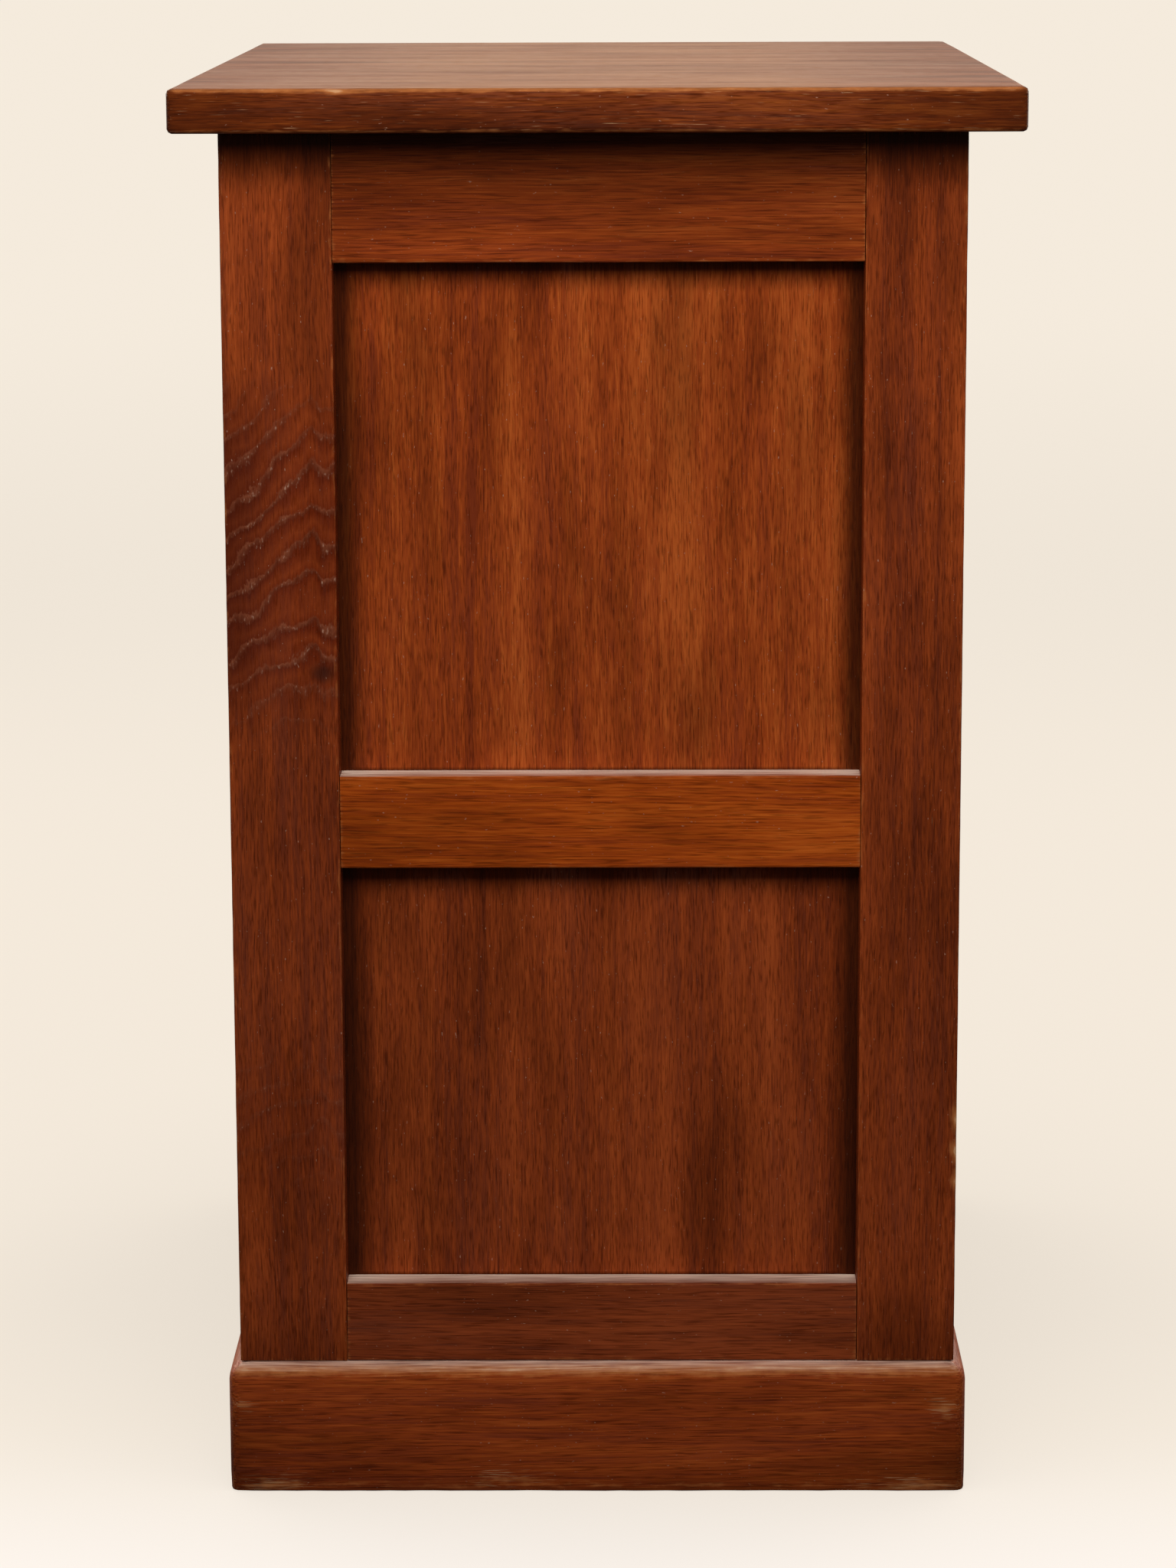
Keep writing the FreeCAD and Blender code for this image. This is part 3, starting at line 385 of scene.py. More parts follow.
def block(name, low, high):
    """A cube primitive stretched between two corners, left open in edit mode."""
    bpy.ops.object.select_all(action="DESELECT")
    low, high = Vector(low), Vector(high)
    bpy.ops.mesh.primitive_cube_add(size=1, location=(low + high) / 2, scale=high - low)
    bpy.ops.object.transform_apply(location=True, rotation=True, scale=True)
    piece = bpy.context.object
    piece.name = name
    bpy.ops.object.mode_set(mode="EDIT")
    return piece


def cut_at(axis, *places):
    """Cuts the whole mesh, in edit mode, across an axis at some places."""
    for place in places:
        where, direction = Vector(), Vector()
        where[axis] = place
        direction[axis] = 1
        bpy.ops.mesh.select_all(action="SELECT")
        bpy.ops.mesh.bisect(plane_co=where, plane_no=direction)


def cut_rows(low, high, rows):
    """Rows of cuts at these distances inside each pair of faces, where the piece is thick enough."""
    for axis in range(3):
        for row in rows:
            if high[axis] - low[axis] > 2.4 * row:
                cut_at(axis, low[axis] + row, high[axis] - row)


def run(edge, axis):
    """How far an edge of a mesh in edit mode goes along an axis."""
    return abs(edge.verts[0].co[axis] - edge.verts[1].co[axis])


def slice_along(piece, axis, step):
    """Divides the longest edges along an axis, and the faces between them, into steps."""
    longest = max(run(edge, axis) for edge in bmesh.from_edit_mesh(piece.data).edges)
    pick(piece, "edges", lambda edge: run(edge, axis) > longest * 0.85)
    bpy.ops.mesh.subdivide(number_cuts=round(longest / step))


def is_sharp(edge):
    """Whether two faces meet squarely at an edge."""
    return edge.is_manifold and edge.calc_face_angle() > math.radians(50)


def bevel(piece, test, width, steps):
    """Bevels the edges that pass a test, in some steps."""
    pick(piece, "edges", test)
    bpy.ops.mesh.bevel(offset=width, segments=steps, affect="EDGES")


def ease(piece, axis, along, ends):
    """Eases the arrises along an axis and then, more finely, the outlines of the ends."""
    bevel(piece, lambda edge: is_sharp(edge) and run(edge, axis) > 0.99 * edge.calc_length(), along, 3)
    bevel(piece, is_sharp, ends, 2)


def points(piece):
    """The places of a mesh's vertices, one row each."""
    places = np.empty(len(piece.data.vertices) * 3, np.float32)
    piece.data.vertices.foreach_get("co", places)
    return places.reshape(-1, 3)


def near(distance, reach):
    """One where a distance is nothing, fading to nothing at its reach."""
    return np.clip(1 - distance / reach, 0, 1)


def edge_distance(piece, low, high):
    """How far each vertex lies from the nearest edge of the box between two corners."""
    places = points(piece)
    inside = np.minimum(places - np.array(low), np.array(high) - places)
    return np.sort(inside, axis=1)[:, 1]


def spot(piece, middle, reach):
    """One at a place, fading to nothing at its reach along each axis."""
    away = (points(piece) - np.array(middle)) / np.array(reach)
    return near(np.linalg.norm(away, axis=1), 1)


def mark(piece, name, values):
    """Keeps one number for each vertex, for the material to read by name."""
    kept = piece.data.attributes.get(name) or piece.data.attributes.new(name, "FLOAT", "POINT")
    kept.data.foreach_set("value", np.asarray(values, np.float32))


def wear_down(piece, amount, depth, lump):
    """Uneven wear: vertices are pushed in where the amount is strong, by a cloudy pattern."""
    group = piece.vertex_groups.new(name="worn")
    for number, share in enumerate(amount):
        group.add([number], float(share), "REPLACE")
    pattern = bpy.data.textures.new(piece.name, "CLOUDS")
    pattern.noise_scale = lump
    worn = piece.modifiers.new("worn", "DISPLACE")
    worn.texture = pattern
    worn.texture_coords = "LOCAL"
    worn.vertex_group = group.name
    worn.mid_level = 0
    worn.strength = -depth
    bpy.ops.object.modifier_apply(modifier=worn.name)
    piece.vertex_groups.clear()


def finish(piece, material, body="cabinet"):
    """Shades a piece, gives it its finish and its body, and lets it stand for its CAD node."""
    choose(piece)
    bpy.ops.object.shade_smooth_by_angle(angle=math.radians(40))
    piece.data.materials.clear()
    piece.data.materials.append(material)
    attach(piece, body)
    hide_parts(piece.name.removesuffix(DRESSED))


def board(node, low, high, grain, arris=0.8 * MM, ends=0.35 * MM, wear=0.5, depth=0.35 * MM,
          reach=6 * MM, step=SLICE, rows=EDGE_ROWS):
    """An eased and slightly worn board between two corners, which stands for a CAD node."""
    axis = AXES.index(grain)
    piece = block(node + DRESSED, low, high)
    cut_rows(low, high, rows)
    slice_along(piece, axis, step)
    ease(piece, axis, arris, ends)
    bpy.ops.object.mode_set(mode="OBJECT")
    amount = near(edge_distance(piece, low, high), reach)
    wear_down(piece, amount, depth, WEAR_LUMP)
    mark(piece, "wear", amount * wear)
    return piece


print("boards are cut in rows", [round(row / MM, 1) for row in EDGE_ROWS], "mm inside their edges")

# %% [markdown]
# One stile of the photographed side was cut beside a branch, and its rings curl up in ridges across
# the board: a soft pale crest dotted with bright specks, a dark hollow, then back to the red of the
# stain. The ridges are a saw wave of the height. It is bent by a climb across the board, by a dip
# near the inner edge and by cloudy noise, so that no two ridges run alike.

# %% Curled figure of the stile
CURL_PITCH = 16.5 * MM
# How far a ring climbs across the board, at the foot of the curl and at its head.
CURL_RISE = (20 * MM, 50 * MM)
# Where the rings stand highest, from the inner edge, and how wide and deep they dip beside that.
CURL_PEAK = 13 * MM
CURL_DIP_WIDTH = 7 * MM
CURL_DIP = 7 * MM
CURL_WOBBLE = 24 * MM
CURL_BENDS = {"climb": 1, "dip": 1, "wobble": 1.4 * CURL_PITCH, "rub": 0.4 * CURL_PITCH,
              "speck": 0.25 * CURL_PITCH}
# The lowest and highest place and the strength of the curl and of its fainter echo lower down.
CURLS = ((455 * MM, 612 * MM, 0.95), (190 * MM, 245 * MM, 0.35))
CURL_FADE = 24 * MM
# How dark the stain is from the foot of a ridge to its crest.
RIDGE = ((0.0, "#E0D2D0"), (1.0, "#E0D2D0"), (0.25, "#FFFFFF"), (0.6, "#D0BEBE"), (0.86, "#9C8686"))
# Darker towards the outer edge, from here to here inside it.
OUTER_DARKENING = (34 * MM, 5 * MM)
KNOT = Vector((0, 151 * MM, 469 * MM))
KNOT_SIZE = Vector((1, 9 * MM, 7 * MM))
# Across the curl the pores are cut end on, so the long dark lines are fewer there.
CALM_LAYER = {"calmed": ("#7E3416", "curl", 0, 1, 0.55)}
CURL_LAYERS = {
    "darker outer edge": ("#451A10", "edge", 0, 1, 0.6),
    "crests": ("#98583E", "crest", 0, 1, 0.6),
    "glints": ("#BC9A88", "glint", 0, 1, 0.55),
    "dark knot": ("#2A110B", "knot", 0, 1, 0.8),
}


def curled_figure(tree, place, patterns, colour):
    """Draws the curl and its knot over a colour, on the stile at the back of the left side."""
    low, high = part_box("left_back_stile")
    peak = low.y + CURL_PEAK
    axis = add(tree, "SeparateXYZ", (place,), out=None)
    foot, head = CURLS[0][:2]
    rise = add(tree, "MapRange", (axis["Z"], foot, head, -CURL_RISE[0], -CURL_RISE[1]))
    slope = add(tree, "MapRange", (axis["Y"], high.y, peak, 0, 1))
    patterns["climb"] = add(tree, "Math", (rise, slope), operation="MULTIPLY")
    patterns["dip"] = add(tree, "MapRange", (axis["Y"], peak, peak - CURL_DIP_WIDTH, 0, CURL_DIP),
                          interpolation_type="SMOOTHSTEP")
    patterns["wobble"] = add(tree, "TexNoise", {"Vector": place, "Scale": 1 / CURL_WOBBLE, "Detail": 1})
    # The height at which a ring would lie if it ran straight, counted in ridges.
    ring = weighed(tree, patterns, CURL_BENDS, axis["Z"])
    ring = add(tree, "Math", (ring, CURL_PITCH), operation="DIVIDE")
    saw = add(tree, "Math", (ring,), operation="FRACT")
    curl = 0
    for foot, head, strength in CURLS:
        begun = add(tree, "MapRange", (axis["Z"], foot - CURL_FADE, foot + CURL_FADE, 0, strength))
        going = add(tree, "MapRange", (axis["Z"], head + CURL_FADE, head - CURL_FADE, 0, 1))
        curl = add(tree, "Math", (begun, going, curl), operation="MULTIPLY_ADD")
    patterns["curl"] = curl
    colour = lay(tree, colour, CALM_LAYER, patterns)
    colour = add(tree, "Mix", {FACTOR: curl, FIRST: colour,
                               SECOND: add(tree, "ValToRGB", {"Fac": saw}, stops=RIDGE)},
                 out=MIXED, data_type="RGBA", blend_type="MULTIPLY")

    # Darker towards the outer edge. The crest is a band of the saw wave, fainter in the dark streaks,
    # and specks glint on it.
    darkening = add(tree, "MapRange", (axis["Y"], high.y - OUTER_DARKENING[0], high.y - OUTER_DARKENING[1], 0, 1))
    patterns["edge"] = add(tree, "Math", (curl, darkening), operation="MULTIPLY")
    crest = curl
    for value, start, end, first, last in (
            (saw, 0.70, 0.90, 0, 1), (saw, 1.0, 0.93, 0, 1), (patterns["streak"], 0.35, 0.60, 1, 0.35)):
        part = add(tree, "MapRange", (value, start, end, first, last))
        crest = add(tree, "Math", (crest, part), operation="MULTIPLY")
    patterns["crest"] = crest
    specks = add(tree, "MapRange", (patterns["speck"], 0.60, 0.74, 0, 1))
    patterns["glint"] = add(tree, "Math", (crest, specks), operation="MULTIPLY")
    away = add(tree, "VectorMath", (place, tuple(KNOT)), operation="SUBTRACT")
    away = add(tree, "VectorMath", (away, tuple(KNOT_SIZE)), operation="DIVIDE")
    away = add(tree, "VectorMath", (away,), out="Value", operation="LENGTH")
    patterns["knot"] = add(tree, "MapRange", (away, 1.2, 0.3, 0, 1), interpolation_type="SMOOTHSTEP")
    return lay(tree, colour, CURL_LAYERS, patterns)


print("curl:", round((CURLS[0][1] - CURLS[0][0]) / CURL_PITCH), "ridges")

# %% [markdown]
# A side is a frame of two stiles and three rails round two thin panels. Boards that meet flush keep
# their own grain and tone, which is what tells them apart in the photograph. Ambient occlusion could
# darken the corners, but painted shade, with some dirt, is kept in the mesh there and under the top
# instead. Dust with a painted highlight is kept in the same way on the ledges of the rails.

# %% Side frames
BRIGHT_STAIN = ("#7E300C", "#A44810", "#C0601E")
# The bottom rail and the lower panel take deeper stains than the boards above them, so the side is darker
# towards its foot.
RAIL_STAINS = {"top_rail": PALE_STAIN, "middle_rail": BRIGHT_STAIN, "bottom_rail": DEEP_STAIN}
PANELS = {"upper_panel": ("middle_rail", "top_rail", PALE_STAIN),
          "lower_panel": ("bottom_rail", "middle_rail", STAIN)}
RAIL_STROKE = 2.0
RAIL_ARRIS = 1.2 * MM
# How thick dust and painted highlight lie on the rails' ledges, and how much lies on the other side.
LEDGE_RAILS = {"middle_rail": 0.95, "bottom_rail": 0.75}
OTHER_SIDE_DUST_AND_HIGHLIGHT = 0.6
LEDGE_SWEPT = 14 * MM
LEDGE_ENDS = 40 * MM
# Painted shadow under an overhang, with some dirt: how much, how far down it stays full, and how
# far it fades below that.
SHADE = (0.85, 9 * MM, 27 * MM)
PANEL_ROWS = (0, 2 * MM, 5 * MM, 8 * MM, 12 * MM, 17 * MM, 24 * MM)
PANEL_SLICE = 12 * MM
# How far in from the sides the painted shade stays full.
CORNER_SHADE = 5 * MM
# Painted shade, with some dirt, along the sides, the head and the foot of a panel: how much, and
# how far it fades.
PANEL_SHADE = ((0.85, 12 * MM), (0.75, 16 * MM), (0.8, 2 * MM))
# Where the outer arris of the front stile was knocked, and how far each knock reaches.
STILE_KNOCKS = ((182 * MM, 7 * MM), (197 * MM, 9 * MM), (216 * MM, 11 * MM))
KNOCK_REACH = 7 * MM


def shadowed(piece, height):
    """Painted shadow, with some dirt, under an overhang at a height."""
    depth, full, fade = SHADE
    return depth * near(height - points(piece)[:, 2] - full, fade)


def ledge_dust_and_highlight(piece, height, strength):
    """Dust and a painted highlight on the flat top of a rail, thickest by the panel and at the ends."""
    places = points(piece)
    low, high = places.min(0), places.max(0)
    thin, long = np.argsort(high[:2] - low[:2])
    outer = np.abs(places[:, thin]).max() - np.abs(places[:, thin])
    ends = near(np.minimum(places[:, long] - low[long], high[long] - places[:, long]), LEDGE_ENDS)
    thick = 0.45 + 0.85 * np.clip(outer / LEDGE_SWEPT, 0, 1) + 0.4 * ends
    return strength * thick * near(np.abs(places[:, 2] - height), 0.6 * MM)


def rail(node, start, end, grain, number, dust=0, arris=RAIL_ARRIS, wear=0.5, **looks):
    """A rail that shows from a start to an end along its grain, dusted and given a painted highlight on its
    ledge, or else given painted shadow at its head. Gives back its two corners."""
    axis = AXES.index(grain)
    low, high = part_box(node)
    low[axis], high[axis] = start, end
    piece = board(node, low, high, grain, arris=arris, wear=wear)
    if dust:
        mark(piece, "dust", ledge_dust_and_highlight(piece, high.z, dust))
    else:
        mark(piece, "grime", shadowed(piece, high.z))
    finish(piece, oak(f"stained oak {node}", grain, number, **looks))
    return low, high


def panel(node, opening_low, opening_high, number, stain=STAIN):
    """A thin panel in its grooves, with painted shade along the opening that it shows through."""
    low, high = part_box(node)
    piece = block(node + DRESSED, low, high)
    thin = min(range(3), key=lambda axis: high[axis] - low[axis])
    wide = [axis for axis in range(3) if axis != thin]
    for axis in wide:
        for row in PANEL_ROWS:
            cut_at(axis, opening_low[axis] + row, opening_high[axis] - row)
    slice_along(piece, 2, PANEL_SLICE)
    bpy.ops.object.mode_set(mode="OBJECT")
    places = points(piece)
    side = wide[0]
    across = np.minimum(places[:, side] - opening_low[side], opening_high[side] - places[:, side])
    inside = (across - CORNER_SHADE, opening_high[2] - places[:, 2], places[:, 2] - opening_low[2])
    # Painted shade in the recess, along its sides, under its head and along its foot.
    recess_shade = [most * near(away, fade) for away, (most, fade) in zip(inside, PANEL_SHADE)]
    mark(piece, "grime", np.maximum.reduce(recess_shade) ** 1.2)
    finish(piece, oak(f"stained oak {node}", "z", number, stain))


def side_frame(side, number):
    """The two stiles, three rails and two panels of one side."""
    stiles = {name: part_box(f"{side}_{name}") for name in ("front_stile", "back_stile")}
    for name, (low, high) in stiles.items():
        node = f"{side}_{name}"
        number += 1
        piece = board(node, low, high, "z")
        # Painted shadow under the top, and darker towards the foot.
        foot = 0.35 * near(points(piece)[:, 2] - low.z, 40 * MM)
        mark(piece, "grime", np.maximum(shadowed(piece, high.z), foot))
        if name == "front_stile":
            knocked = near(edge_distance(piece, low, high), KNOCK_REACH)
            for height, reach in STILE_KNOCKS:
                outer = (low.x if side == "left" else high.x, low.y, height)
                knocked = knocked + 1.7 * spot(piece, outer, (KNOCK_REACH, 6 * MM, reach))
            mark(piece, "wear", 0.5 * knocked)
        figure = curled_figure if node == "left_back_stile" else None
        finish(piece, oak(f"stained oak {node}", "z", number, figure=figure))
    front, back = stiles["front_stile"][1].y, stiles["back_stile"][0].y
    rails = {}
    for name, stain in RAIL_STAINS.items():
        number += 1
        # Dust and a painted highlight on the ledges, weaker on the right side.
        dust = LEDGE_RAILS.get(name, 0) * (1 if side == "left" else OTHER_SIDE_DUST_AND_HIGHLIGHT)
        rails[name] = rail(f"{side}_{name}", front, back, "y", number, dust, wear=0.55, tones=stain,
                           stroke=RAIL_STROKE)
    for name, (below, above, stain) in PANELS.items():
        number += 1
        panel(f"{side}_{name}", Vector((0, front, rails[below][1].z)),
              Vector((0, back, rails[above][0].z)), number, stain)
    print(side, "side: two stiles, three rails and two panels")


side_frame("left", 0)
side_frame("right", 10)

# %% [markdown]
# The top is one thick board. Its upper face is paler in long streaks, partly bleached by sun and
# partly a painted sheen, while its edges keep the dark stain. A second material on the upper face
# would end in a hard line, so the pale layer follows the direction of the surface. Its arrises are
# the most rubbed of all, and one is chipped.

# %% Top
TOP_STAIN = ("#471C0A", "#6C2F10", "#8C471B")
TOP_ROWS = (3.8 * MM, 5.5 * MM, 40 * MM, 80 * MM)
TOP_CHIP = 138 * MM
CHIP_REACH = 9 * MM
TOP_RUBBED = 4 * MM
DARK_END = 90 * MM
# The pale tan of the upper face: partly bleaching, partly a painted sheen.
FADE_AND_SHEEN_LAYER = {"faded_and_sheen": ("#A66C38", "bleach_and_sheen", 0, 1, 1)}


def faded_and_sheen(tree, place, patterns, colour):
    """Bleaching and a painted sheen on the faces that look up, in uneven streaks and less at the ends."""
    up = add(tree, "SeparateXYZ", (add(tree, "NewGeometry", out="Normal"),), out="Z")
    along = add(tree, "SeparateXYZ", (place,), out="Y")
    out_along = add(tree, "Math", (along,), operation="ABSOLUTE")
    streaks = add(tree, "Math", (patterns["streak"], patterns["patch"]), operation="ADD")
    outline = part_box("top_board")[1].y
    bleach_and_sheen = 1
    for value, start, end, first, last in (
            (streaks, 0.75, 1.25, 0.9, 0.25),
            (up, 0.6, 0.98, 0, 1),
            (out_along, DARK_END, outline, 1, 0.35)):
        part = add(tree, "MapRange", (value, start, end, first, last))
        bleach_and_sheen = add(tree, "Math", (bleach_and_sheen, part), operation="MULTIPLY")
    patterns["bleach_and_sheen"] = bleach_and_sheen
    return lay(tree, colour, FADE_AND_SHEEN_LAYER, patterns)


low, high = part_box("top_board")
top = board("top_board", low, high, "y", arris=3 * MM, ends=2.6 * MM, depth=0.8 * MM, step=5 * MM,
            rows=TOP_ROWS)
from_edge = edge_distance(top, low, high)
upper = near(high.z - points(top)[:, 2], (high.z - low.z) / 2)
chip = spot(top, (low.x, TOP_CHIP, high.z - 4 * MM), (CHIP_REACH, CHIP_REACH, CHIP_REACH))
wear_down(top, chip, 1.2 * MM, 30 * MM)
places = points(top)
from_end = high.y - np.abs(places[:, 1])
corner = near(np.maximum(from_end, high.x - np.abs(places[:, 0])), 6 * MM)
rubbed = near(from_edge, TOP_RUBBED)
mark(top, "wear", (1.0 + 0.35 * upper) * rubbed * (1 - 0.7 * corner) + 0.45 * chip)
mark(top, "scuff", 0.3 + 0.4 * near(from_edge, 9 * MM))
mark(top, "matt", 0.14 * near(from_end, DARK_END) + 0.2 * rubbed)
# The edge is darker towards its ends, and darker still at the rounded corners.
on_edge = np.abs(places[:, 2] - (low.z + high.z) / 2) < 9 * MM
mark(top, "grime", np.maximum(0.35 * near(from_end, DARK_END) * on_edge, 0.6 * corner))
top_oak = oak("stained oak top", "y", 21, TOP_STAIN, sheen=0.42, stroke=1.3, figure=faded_and_sheen)
finish(top, top_oak)
print("top:", len(top.data.polygons), "faces")

# %% [markdown]
# The plinth is four mitred boards with a round nose. Each could be shaped by itself, but the nose
# has to run through the mitres unbroken, so one whole ring is shaped first, and each board is the
# ring cut by the two mitre planes at its ends.

# %% Plinth
PLINTH_BOARDS = {"plinth_left": (-1, 0), "plinth_right": (1, 0), "plinth_front": (0, -1),
                 "plinth_back": (0, 1)}
NOSE = 10 * MM
NOSE_STEPS = 6
PLINTH_CORNER = 6 * MM
PLINTH_FOOT = 1.5 * MM
PLINTH_WALL = 20 * MM
PLINTH_ROWS = (4 * MM, 11 * MM, 20 * MM, 34 * MM, 50 * MM, 52 * MM, 54 * MM)
PLINTH_FACE = 14 * MM
# Scuffs on the photographed side: their place along it, height, half length and half height.
PLINTH_SCUFFS = ((185 * MM, 4 * MM, 42 * MM, 11 * MM), (52 * MM, 8 * MM, 40 * MM, 9 * MM),
                 (-178 * MM, 4 * MM, 60 * MM, 10 * MM), (203 * MM, 52 * MM, 14 * MM, 4 * MM),
                 (-192 * MM, 50 * MM, 20 * MM, 9 * MM))

corners = [corner for node in PLINTH_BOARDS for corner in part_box(node)]
ring_low = Vector(min(corner[axis] for corner in corners) for axis in range(3))
ring_high = Vector(max(corner[axis] for corner in corners) for axis in range(3))


def extrude(x, y, z):
    """Draws the selected faces out by a step along the axes."""
    bpy.ops.mesh.extrude_region_move(TRANSFORM_OT_translate={"value": (x, y, z)})


def twin(piece, name):
    """A copy of a piece with a mesh of its own."""
    copy = piece.copy()
    copy.data = piece.data.copy()
    copy.name = name
    bpy.context.scene.collection.objects.link(copy)
    return copy


def in_wall(vertex):
    """Whether a vertex lies within the ring's boards and not inside the ring."""
    return any(min(vertex.co[axis] - ring_low[axis], ring_high[axis] - vertex.co[axis])
               <= PLINTH_WALL - 0.1 * MM for axis in (0, 1))


middle = (ring_low + ring_high) / 2
ring = block("plinth_ring", ring_low, (ring_high.x, ring_high.y, ring_high.z - NOSE))
bevel(ring, lambda edge: run(edge, 2) > NOSE, PLINTH_CORNER, 4)
bevel(ring, lambda edge: all(v.co.z < ring_low.z + SAME for v in edge.verts), PLINTH_FOOT, 2)
# The nose is drawn up from the top face in steps, each a little higher and smaller than the last.
pick(ring, "faces", lambda face: face.normal.z > 0.99)
risen, drawn_in = 0, 0
halves = [ring_high[axis] - middle[axis] for axis in (0, 1)]
for step in range(1, NOSE_STEPS + 1):
    turn = math.pi / 2 * step / NOSE_STEPS
    rise = NOSE * math.sin(turn)
    inset = NOSE * (1 - math.cos(turn))
    extrude(0, 0, rise - risen)
    shrink = [(half - inset) / (half - drawn_in) for half in halves]
    bpy.ops.transform.resize(value=(*shrink, 1),
                             center_override=(middle.x, middle.y, ring_high.z - NOSE + rise))
    risen, drawn_in = rise, inset
for axis in (0, 1):
    for inset in (0.6 * PLINTH_WALL, PLINTH_WALL):
        cut_at(axis, ring_low[axis] + inset, ring_high[axis] - inset)
cut_at(2, *PLINTH_ROWS)
pick(ring, "faces", lambda face: abs(face.normal.z) > 0.99 and not any(in_wall(v) for v in face.verts))
bpy.ops.mesh.bridge_edge_loops()
for axis in (0, 1):
    slice_along(ring, axis, SLICE)
bpy.ops.object.mode_set(mode="OBJECT")
places = points(ring)
from_faces = np.sort(np.minimum(places - np.array(ring_low), np.array(ring_high) - places)[:, :2], axis=1)
knocked = near(places[:, 2], 12 * MM) + near(from_faces[:, 1], 9 * MM)
wear_down(ring, np.clip(knocked * near(from_faces[:, 0], PLINTH_FACE), 0, 1), 0.7 * MM, 12 * MM)
print("plinth ring:", len(ring.data.polygons), "faces")


def plinth_board(node, side, number):
    """One board of the ring, between its mitres."""
    piece = twin(ring, node + DRESSED)
    choose(piece)
    bpy.ops.object.mode_set(mode="EDIT")
    outward = Vector((*side, 0))
    sideways = Vector((-outward.y, outward.x, 0))
    for end in (1, -1):
        way = outward + end * sideways
        corner = Vector([(ring_high if way[axis] > 0 else ring_low)[axis] for axis in (0, 1)] + [0])
        bpy.ops.mesh.select_all(action="SELECT")
        bpy.ops.mesh.bisect(plane_co=corner, plane_no=outward - end * sideways, use_fill=True,
                            clear_inner=True)
    bpy.ops.object.mode_set(mode="OBJECT")
    places = points(piece)
    height = places[:, 2]
    thin, long = (1, 0) if side[0] == 0 else (0, 1)
    out = np.abs(places[:, thin] - (ring_low if sum(side) < 0 else ring_high)[thin])
    along = np.minimum(places[:, long] - ring_low[long], ring_high[long] - places[:, long])
    below = ring_high.z - height
    outside = near(out, PLINTH_FACE)
    # Darker at the ends and towards the foot, with a thin painted shadow along the floor.
    darkening = 0.5 * near(along - 4 * MM, 34 * MM) * near(height - 10 * MM, 50 * MM)
    dirt_and_shade = np.maximum(0.3 * near(height, 22 * MM), 0.85 * near(height, 2 * MM))
    mark(piece, "grime", outside * np.maximum(darkening, dirt_and_shade))
    scuff = np.zeros(len(places))
    if node == "plinth_left":
        for place, middle_height, half_length, half_height in PLINTH_SCUFFS:
            middle = (ring_low.x, place, middle_height)
            scuff = np.maximum(scuff, spot(piece, middle, (PLINTH_FACE, half_length, half_height)))
    mark(piece, "scuff", 2.0 * scuff)
    # The rubbed nose and corners, and the dust on the nose, are partly a painted highlight; the nose's share
    # is half as strong on the front and back boards.
    at_side = 1.0 if side[0] else 0.5
    foot = near(np.abs(height - 5 * MM), 8 * MM)
    nose_rub_and_highlight = near(np.abs(below - 3 * MM), 8 * MM)
    corner = near(along, 5 * MM)
    rubbed = np.maximum.reduce([0.6 * foot, 1.15 * at_side * nose_rub_and_highlight, 0.9 * corner, 0.78 * scuff])
    mark(piece, "wear", outside * rubbed)
    mark(piece, "dust", at_side * np.maximum(0.9 * near(below, 2 * MM), 0.6 * near(below, 8 * MM)))
    stained = oak(f"stained oak {node}", AXES[long], number, PALE_STAIN, stroke=RAIL_STROKE)
    finish(piece, stained)


for number, (node, side) in enumerate(PLINTH_BOARDS.items(), start=30):
    plinth_board(node, side, number)
bpy.data.objects.remove(ring)

# %% [markdown]
# The back is framed like the sides, with a muntin between two panels, so that the cabinet can stand
# in a room. Its rails lie between the back stiles, and the muntin lies between the rails.

# %% Back frame
# How thick the dust and painted highlight lie on each rail of the back.
BACK_RAILS = {"back_top_rail": 0, "back_bottom_rail": 0.9}


def back_frame(number):
    """The two rails, the muntin and the two panels of the back."""
    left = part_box("left_back_stile")[1].x
    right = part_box("right_back_stile")[0].x
    rails = {}
    for node, dust in BACK_RAILS.items():
        number += 1
        rails[node] = rail(node, left, right, "x", number, dust)
    bottom = rails["back_bottom_rail"][1].z
    top = rails["back_top_rail"][0].z
    low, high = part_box("back_muntin")
    low.z, high.z = bottom, top
    piece = board("back_muntin", low, high, "z")
    finish(piece, oak("stained oak back_muntin", "z", number + 1))
    for node, start, end in (("back_left_panel", left, low.x), ("back_right_panel", high.x, right)):
        number += 2
        panel(node, Vector((start, 0, bottom)), Vector((end, 0, top)), number)
    print("back frame: two rails, a muntin and two panels")


back_frame(40)

# %% [markdown]
# Inside, the same oak was stained once and never polished, so it stays lighter and duller. The
# floor, the header and the two shelves are boards like those of the frame. The floor is mortised
# for the brass plate that takes the lock's cam: a patch of its top face is cut out and sunk.

# %% Floor, header and shelves
INSIDE_STAIN = ("#74401F", "#8F552B", "#A86A38")
INSIDE_GLOSS = 0.6
INSIDE_ARRIS = 1 * MM
STRIKE_MORTISE = 12 * MM

rail("header_rail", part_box("left_track_board")[1].x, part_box("right_track_board")[0].x, "x", 51,
     arris=INSIDE_ARRIS)

